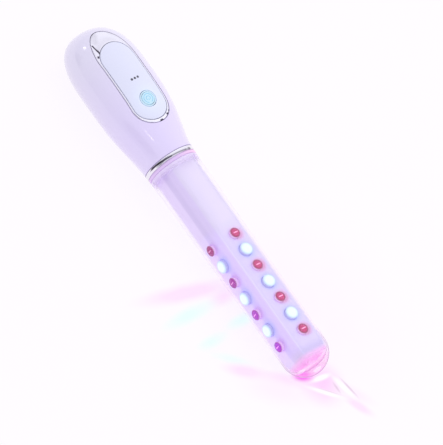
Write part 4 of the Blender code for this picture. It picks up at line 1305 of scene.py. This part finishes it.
def lamp_glass(name, middle, ring, side, strength, ring_at=edge_value, soft=0.12, low_side=None):
    """A lit dome with three zones, each a base colour and a light: its middle, a ring and its side.

    low_side gives the lights of a middle on the wand's low side, at the first lamp and at the last.
    """
    material, shader, flow = start_material(name)
    rim = flow.node("ShaderNodeAttribute", {"attribute_name": "rim"}, output="Fac")
    in_ring, on_side = ramp(rim, ring_at - soft, soft), ramp(rim, side_at, side_soft)
    uneven = noise(flow, object_place(flow), 0.0008)
    base, light = [blend(flow, in_ring, inner, outer) for inner, outer in zip(middle, ring)]
    if low_side:
        x, y, _ = from_neck(flow)
        towards_tip = ramp(x - first_emitter_x, violet_start_x, violet_reach)
        light_there = blend(flow, towards_tip, *low_side)
        light = blend(flow, ramp(0 - y, low_side_y, low_side_reach), light, light_there)
    values = {
        "Base Color": blend(flow, on_side, base, side[0]),
        "Roughness": 0.12 + uneven * 0.08,
        "Specular IOR Level": 0.2,
        "Emission Color": blend(flow, on_side, light, side[1]),
        "Emission Strength": strength,
    }
    set_sockets(shader, flow, values)
    return material


# A zone is a base colour and a light.
rosy_side = (0.84, 0.64, 0.86), (0.24, 0.14, 0.28)
blue_side = (0.52, 0.54, 0.76), (0.10, 0.10, 0.22)
window = (0.30, 0.02, 0.07), (0.50, 0.06, 0.22)
window_edge = (0.30, 0.02, 0.07), (0.20, 0.01, 0.06)
violet_light = (0.22, 0.04, 0.20), (0.30, 0.03, 0.90)
red_glass = lamp_glass("red_window", window, window_edge, window_edge, 0.7, 0.95, low_side=violet_light)
rim = (0.34, 0.10, 0.19), (0.22, 0.04, 0.11)
collar = (0.74, 0.48, 0.64), (0.20, 0.10, 0.18)
rim_violet = (0.14, 0.02, 0.14), (0.22, 0.03, 0.50)
rim_finish = lamp_glass("diode_rim", rim, collar, rosy_side, 0.6, low_side=rim_violet)
bar_plastic = (0.85, 0.35, 0.55), (0.60, 0.28, 0.46)
bar_violet = (0.12, 0.02, 0.16), (0.50, 0.09, 0.89)
bar_finish = lamp_glass("diode_bar", bar_plastic, bar_plastic, bar_plastic, 0.7, low_side=bar_violet)
dome = (0.34, 0.48, 0.50), (0.72, 0.80, 0.78)
dome_edge = (0.42, 0.52, 0.64), (0.26, 0.36, 0.46)
blue_glass = lamp_glass("blue_dome", dome, dome_edge, blue_side, 0.85, soft=0.36)


red_numbers, blue_numbers = (1, 3, 5, 7), (2, 4, 6)
red_places = [f"red_diode_{row}_{i}" for row in range(1, row_count + 1) for i in red_numbers]
blue_places = [f"blue_led_{row}_{i}" for row in range(1, row_count + 1) for i in blue_numbers]


def lamps(name, part_mesh, numbers, finish, slot, *nodes):
    """One part of every lamp that has one of these numbers in its row, as one piece."""
    source = object_from(part_mesh)
    mesh = mesh_by(
        lamp_tree,
        part=source,
        first=first_emitter_x + (numbers[0] - 1) * emitter_pitch,
        pitch=2 * emitter_pitch,
        count=len(numbers),
        rows=row_count,
        turn=core_turn,
        neck=neck,
        finish=finish,
    )
    bpy.data.objects.remove(source)
    piece(name, mesh, finish, "wand", slot, *nodes)


lamps("red_diode_windows", red_window, red_numbers, red_glass, "red_lens", *red_places)
lamps("red_diode_rims", red_rim, red_numbers, rim_finish, "red_lens")
lamps("red_diode_bars", bar_mesh, red_numbers, bar_finish, "red_lens")
lamps("blue_led_domes", blue_dome, blue_numbers, blue_glass, "blue_lens", *blue_places)

# %% [markdown]
# ## The charge port
#
# At the rear end a small hinged cover closes the charge port. Its outer face is the handle's own skin, so
# each of its points is found where a line along the wand meets the skin, by halving. Behind it sits the
# socket: a rolled steel shell round a thin black tongue, with gilt contacts on both of its faces.

# %% The cover and the socket
def rear_skin(side, height, inset):
    """How far back the skin lies at this place of the rear end."""
    low, high = widest_x, inset - handle_length
    for _ in range(36):
        middle = (low + high) / 2
        half_width, widest, top, bottom = section(middle, inset)
        rise = (top - widest) if height > widest else (widest - bottom)
        inside = half_width > 0 and rise > 0
        inside = inside and (side / half_width) ** 2 + ((height - widest) / rise) ** 2 < 1
        low, high = (middle, high) if inside else (low, middle)
    return low


def cover_ring(share, depth, inset):
    outline = oval(cover_half_width, cover_half_height, 40)
    if share == 0:
        outline = [(0, 0)]
    points = []
    for side, up in outline:
        side, height = side * share, port_height + up * share
        points.append((rear_skin(side, height, inset) + depth, side, height))
    return points


cover_rim = 0.00025
cover_rings = [cover_ring(share / 8, 0, 0) for share in range(8)]
for short, fallen in rounded_edge(cover_rim, range(0, 91, 30)):
    cover_rings.append(cover_ring(1 - short / cover_half_height, fallen, 0))
cover_rings += [cover_ring(share, 0, cover_thickness) for share in (1, 0.7, 0.35, 0)]
piece("charge_port_cover", lofted(cover_rings), handle_white, "port_flap", "handle_white", "port_cover")

socket_half_width, socket_half_height, socket_wall = 0.00445, 0.0016, 0.0004
socket_low, socket_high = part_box("charge_socket")
mouth_x, socket_end_x = socket_low.x - neck.x, socket_high.x - neck.x


def socket_ring(inward, x):
    outline = oval(socket_half_width - inward, socket_half_height - inward, 24)
    return [(x, side, port_height + up) for side, up in outline]


lip, floor_thickness = 0.0001, 0.0008
socket_rings = [
    [(socket_end_x, 0, port_height)],
    socket_ring(0, socket_end_x),
    socket_ring(0, mouth_x + lip),
    socket_ring(lip, mouth_x),
    socket_ring(socket_wall - lip, mouth_x),
    socket_ring(socket_wall, mouth_x + lip),
    socket_ring(socket_wall, socket_end_x - floor_thickness),
    [(socket_end_x - floor_thickness, 0, port_height)],
]

# %% Steel, plain plastic and rubber
def brushed(name, light, dark, roughness):
    """Bare metal with the fine lines that rolling or turning leaves."""
    material, shader, flow = start_material(name)
    stretched = {"Vector": object_place(flow), "Scale": (1, 1, 14)}
    lines = noise(flow, flow.node("ShaderNodeMapping", None, stretched), 0.002, 6.0)
    values = {
        "Base Color": blend(flow, lines, light, dark),
        "Roughness": roughness + lines * 0.15,
        "Metallic": 1.0,
        "Normal": bump(flow, lines, 0.000005),
    }
    set_sockets(shader, flow, values)
    return material


def moulded(name, light, dark, roughness, spread=0.06, grain=0.0004, depth=0.000004):
    """Plastic or rubber: two close colours in soft patches, uneven gloss and a fine grain."""
    material, shader, flow = start_material(name)
    place = object_place(flow)
    patches, fine = noise(flow, place, 0.012, 3.0), noise(flow, place, grain, 1.0)
    values = {
        "Base Color": blend(flow, patches, light, dark),
        "Roughness": roughness - spread / 2 + fine * spread,
        "Normal": bump(flow, fine, depth),
    }
    set_sockets(shader, flow, values)
    return material


steel = brushed("bright_steel", (0.72, 0.72, 0.74), (0.52, 0.52, 0.55), 0.22)
gold = brushed("contact_gold", (0.95, 0.72, 0.35), (0.85, 0.60, 0.25), 0.2)
black_plastic = moulded("black_plastic", (0.030, 0.030, 0.034), (0.020, 0.020, 0.022), 0.42, spread=0.12)

# %% The socket's pieces
piece("socket_shell", lofted(socket_rings), steel, "wand", "steel", "charge_socket")
tongue_half_width, tongue_half_height = 0.0033, 0.00035
tongue_low = (mouth_x + 0.0010, -tongue_half_width, port_height - tongue_half_height)
tongue_high = (socket_end_x - floor_thickness, tongue_half_width, port_height + tongue_half_height)
piece("socket_tongue", block(tongue_low, tongue_high), black_plastic, "wand", "black_plastic")
contact_pitch, contact_half_width, contact_thickness = 0.0006, 0.00018, 0.00006
contact_rear_x, contact_front_x = mouth_x + 0.0014, mouth_x + 0.0040
contacts = []
for i in range(-4, 5):
    for low in (0.00034, -0.0004):
        side, height = contact_pitch * i, port_height + low
        start = (contact_rear_x, side - contact_half_width, height)
        end = (contact_front_x, side + contact_half_width, height + contact_thickness)
        contacts.append(block(start, end))
piece("socket_contacts", joined(*contacts), gold, "wand", "steel")

# %% [markdown]
# ## The pieces inside
#
# The board, the cell, the motor and their holders keep the shapes of the CAD model. They are seen only when
# the wand is opened, but each gets a finish with its own detail: a board has traces under green lacquer, a
# cell has a shrunk wrap with bare metal ends, and a motor's can is drawn steel.

# %% Finishes of the inner pieces
trace_width = 0.0008


def circuit_board(name, lacquer, trace):
    """A board: straight traces under the lacquer, in steps, and a slightly wavy surface."""
    material, shader, flow = start_material(name)
    place = object_place(flow)
    steps = noise(flow, place, 0.004, 0.0)
    lane = flow.maths("FRACT", (from_neck(flow)[1] + steps * 0.003) / (2.5 * trace_width))
    line = lane.maths("LESS_THAN", lane, 0.4) * (noise(flow, place, 0.006) > 0.48)
    values = {
        "Base Color": blend(flow, line, lacquer, trace),
        "Roughness": 0.35 + line * 0.1,
        "Normal": bump(flow, line, 0.00003),
    }
    set_sockets(shader, flow, values)
    return material


cell_middle_x, wrap_half_length = -0.04925, 0.0232


def wrapped_cell():
    """A cell in a shrunk blue wrap that leaves its metal ends bare."""
    material, shader, flow = start_material("cell_wrap")
    ends = abs(from_neck(flow)[0] - cell_middle_x) > wrap_half_length
    wrinkles = noise(flow, object_place(flow), 0.0012, 3.0)
    values = {
        "Base Color": blend(flow, ends, (0.07, 0.22, 0.58), (0.75, 0.76, 0.78)),
        "Roughness": 0.30 + wrinkles * 0.12,
        "Metallic": ends * 0.8,
        "Normal": bump(flow, wrinkles, 0.00004),
    }
    set_sockets(shader, flow, values)
    return material


grey_plastic = moulded("grey_plastic", (0.34, 0.35, 0.37), (0.29, 0.30, 0.32), 0.5, spread=0.15)
rubber_light, rubber_dark = (0.035, 0.035, 0.040), (0.025, 0.025, 0.028)
dark_rubber = moulded("dark_rubber", rubber_light, rubber_dark, 0.7, spread=0.2, depth=0.00001)
wire_sleeve = moulded("wire_sleeve", (0.16, 0.16, 0.18), (0.11, 0.11, 0.13), 0.5, spread=0.1, grain=0.0008)
core_plain = moulded("core_white_plain", (0.84, 0.80, 0.94), (0.80, 0.76, 0.92), 0.4)
green_board = circuit_board("green_board", (0.015, 0.16, 0.07), (0.05, 0.30, 0.12))
white_board = circuit_board("white_board", (0.82, 0.83, 0.86), (0.70, 0.72, 0.76))
blue_cell = wrapped_cell()

inner_finishes = {
    "panel_gasket": dark_rubber,
    "control_board": green_board,
    "tact_switch": black_plastic,
    "switch_plunger": grey_plastic,
    "controller_chip": black_plastic,
    "board_screw_front": steel,
    "board_screw_rear": steel,
    "battery_cell": blue_cell,
    "battery_cradle": grey_plastic,
    "vibration_motor": steel,
    "eccentric_weight": steel,
    "motor_sleeve": dark_rubber,
    "neck_coupling": core_plain,
    "o_ring": dark_rubber,
    "wire_harness": wire_sleeve,
} | {f"led_strip_{row}": white_board for row in range(1, row_count + 1)}
for name, material in inner_finishes.items():
    for material_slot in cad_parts[name].material_slots:
        material_slot.material = material
print("inner pieces with a finish of their own:", len(inner_finishes))

# %% [markdown]
# ## The studio
#
# The photograph is nearly shadowless: a white table lit from below, and white cloth all round. The world is
# that tent, brighter towards one high direction. It has four dark gaps that only mirrors see, so that the
# chrome gets its dark bands and nothing else loses light. Two small round lamps make the sharp highlights.
# The wand throws rosy and cyan light on the table, and thin mauve shade. To find such a pattern through a
# clear tube takes a ray tracer very many rays, so it is painted on the table instead, as soft ellipses of
# light and shade.

# %% The white tent
key_direction = Vector((0.05, 0.58, 0.81)).normalized()
tent_low, tent_high, gap_dark = (0.58, 0.565, 0.64), (1.10, 1.09, 1.17), (0.10, 0.09, 0.12)
# Each gap has the direction in which it lies, in degrees, and its reach.
dark_gaps = [(-48, 4, 17), (14, 25, 16), (44, 8, 16), (72, 22, 15)]


def direction_of(azimuth_degrees, elevation_degrees):
    """Which way a thing lies that is seen from the wand in this direction."""
    turn, tilt = math.radians(azimuth_degrees), math.radians(elevation_degrees)
    return Vector((math.sin(turn) * math.cos(tilt), -math.cos(turn) * math.cos(tilt), math.sin(tilt)))


def towards(direction, axis):
    """1 where a direction lies along the axis, 0 where it is square to it."""
    values = {0: direction, 1: axis}
    return direction.node("ShaderNodeVectorMath", {"operation": "DOT_PRODUCT"}, values, output="Value")


world = bpy.data.worlds.new("white tent")
world.use_nodes = True
bpy.context.scene.world = world
flow = Flow(world.node_tree)
direction = flow.node("ShaderNodeTexCoord", output="Generated")
share = ramp(towards(direction, key_direction) * 0.6, -0.4, 1)
dark = 0.0
for gap_azimuth, gap_elevation, gap_reach in dark_gaps:
    middle = towards(direction, direction_of(gap_azimuth, gap_elevation))
    rim, core = [math.cos(math.radians(gap_reach * part)) for part in (1, 0.5)]
    dark = larger(ramp(middle, rim, core - rim), dark)
in_mirror = flow.node("ShaderNodeLightPath", output="Is Glossy Ray")
tent = blend(flow, dark * in_mirror * 0.85, blend(flow, share, tent_low, tent_high), gap_dark)
set_sockets(world.node_tree.nodes["Background"], flow, {"Color": tent, "Strength": 1.0})
bpy.context.scene.view_settings.view_transform = "Standard"
bpy.context.scene.view_settings.look = "None"
print("the tent has", len(dark_gaps), "dark gaps")

# %% The table, lit from below
pink_light, cyan_light, mauve_shade = (0.850, 0.660, 0.850), (0.700, 0.860, 0.870), (0.640, 0.480, 0.620)
rosy_light, hot_light, clear_light = (0.845, 0.540, 0.830), (0.830, 0.100, 0.750), (0.875, 0.850, 0.880)
# Each painted patch has its middle and its half lengths in plan, its turn in degrees, its colour and its
# strength; the mauve ones are painted shade, the rest painted light.
painted_light_and_shade = [
    ((0.0800, 0.0300), (0.095, 0.075), 0, (0.860, 0.785, 0.860), 0.9),
    ((0.0405, -0.0310), (0.044, 0.0080), 76, pink_light, 1.25),
    ((0.0525, -0.0130), (0.007, 0.014), 0, pink_light, 1.0),
    ((0.0530, -0.0390), (0.007, 0.027), 0, cyan_light, 1.1),
    ((0.0700, -0.0120), (0.006, 0.015), 0, cyan_light, 1.0),
    ((0.0730, -0.0360), (0.006, 0.016), 0, cyan_light, 0.9),
    ((0.0870, -0.0330), (0.018, 0.005), 50, cyan_light, 0.6),
    ((0.0985, -0.0290), (0.020, 0.0065), 52, pink_light, 1.2),
    ((0.1130, -0.0110), (0.018, 0.0065), 52, pink_light, 1.1),
    ((0.1160, -0.0200), (0.030, 0.014), 48, (0.860, 0.760, 0.860), 0.9),
    ((0.1250, 0.0080), (0.020, 0.018), 0, rosy_light, 1.0),
    ((0.1400, 0.0230), (0.018, 0.006), 33, pink_light, 0.5),
    ((0.1475, 0.0200), (0.014, 0.0045), 27, pink_light, 1.2),
    ((0.1222, 0.0098), (0.010, 0.0026), 84, clear_light, 1.6),
    ((0.1313, 0.0068), (0.018, 0.0024), 45, clear_light, 1.6),
    ((0.1338, 0.0192), (0.013, 0.0029), 14, clear_light, 1.6),
    ((0.1352, 0.0219), (0.011, 0.0012), 9, mauve_shade, 0.9),
    ((0.1318, 0.0149), (0.006, 0.0012), 0, mauve_shade, 0.8),
    ((0.1315, 0.0090), (0.014, 0.0008), 45, mauve_shade, 0.5),
    ((0.1162, 0.0006), (0.009, 0.0050), 64, hot_light, 1.5),
]


def lit_table():
    """White acrylic over lamps, so shadows hardly show, with the rosy and cyan light that the wand throws and
    its mauve shade painted on as patches.
    """
    material, shader, flow = start_material("table_white")
    place = object_place(flow)
    cloudy = noise(flow, place, 0.4)
    uneven = 0.7 + noise(flow, place, 0.012, 1.0) * 0.6
    x = flow.node("ShaderNodeSeparateXYZ", None, {0: place})
    y = x.beside("Y")
    light = blend(flow, cloudy, (0.858, 0.828, 0.868), (0.853, 0.824, 0.864))
    for (middle_x, middle_y), (reach_x, reach_y), degrees, tint, strength in painted_light_and_shade:
        cos, sin = math.cos(math.radians(degrees)), math.sin(math.radians(degrees))
        along = ((x - middle_x) * cos + (y - middle_y) * sin) / reach_x
        across = ((y - middle_y) * cos - (x - middle_x) * sin) / reach_y
        nearness = 1 - ramp((along * along + across * across) ** 0.5, 0, 1)
        share = smaller(nearness * nearness * (3 - 2 * nearness) * uneven * strength, 1)
        light = blend(flow, share, light, tint)
    values = {
        "Base Color": colour(0.16, 0.155, 0.16),
        "Roughness": 0.7 + cloudy * 0.1,
        "Specular IOR Level": 0.1,
        "Emission Color": light,
        "Emission Strength": 1.0,
    }
    set_sockets(shader, flow, values)
    return material


table_radius = 4
table = bpy.data.meshes.new("table")
bm = bmesh.new()
bmesh.ops.create_circle(bm, cap_ends=True, radius=table_radius, segments=96)
bm.to_mesh(table)
bm.free()
table.materials.append(lit_table())
table_top = object_from(table)
table_top.name = "table_top"
print("patches of light on the table:", len(painted_light_and_shade))

# %% Two small lamps for the highlights
def area_lamp(name, azimuth_degrees, elevation_degrees, distance, size, radiance):
    """A round lamp in this direction from the wand, facing it, as bright as stated."""
    back = direction_of(azimuth_degrees, elevation_degrees)
    data = bpy.data.lights.new(name, "AREA")
    data.shape = "DISK"
    data.size = size
    data.energy = radiance * math.pi**2 * (size / 2) ** 2
    lamp = bpy.data.objects.new(name, data)
    lamp.location = look_at + back * distance
    lamp.rotation_euler = back.to_track_quat("Z", "Y").to_euler()
    bpy.context.scene.collection.objects.link(lamp)
    print(f"{name}: {data.energy:.3f} W")


area_lamp("camera lamp", 21.0, 57.2, 3.6, 0.15, 6)
area_lamp("rear lamp", -76.0, 25.0, 1.2, 0.13, 5)
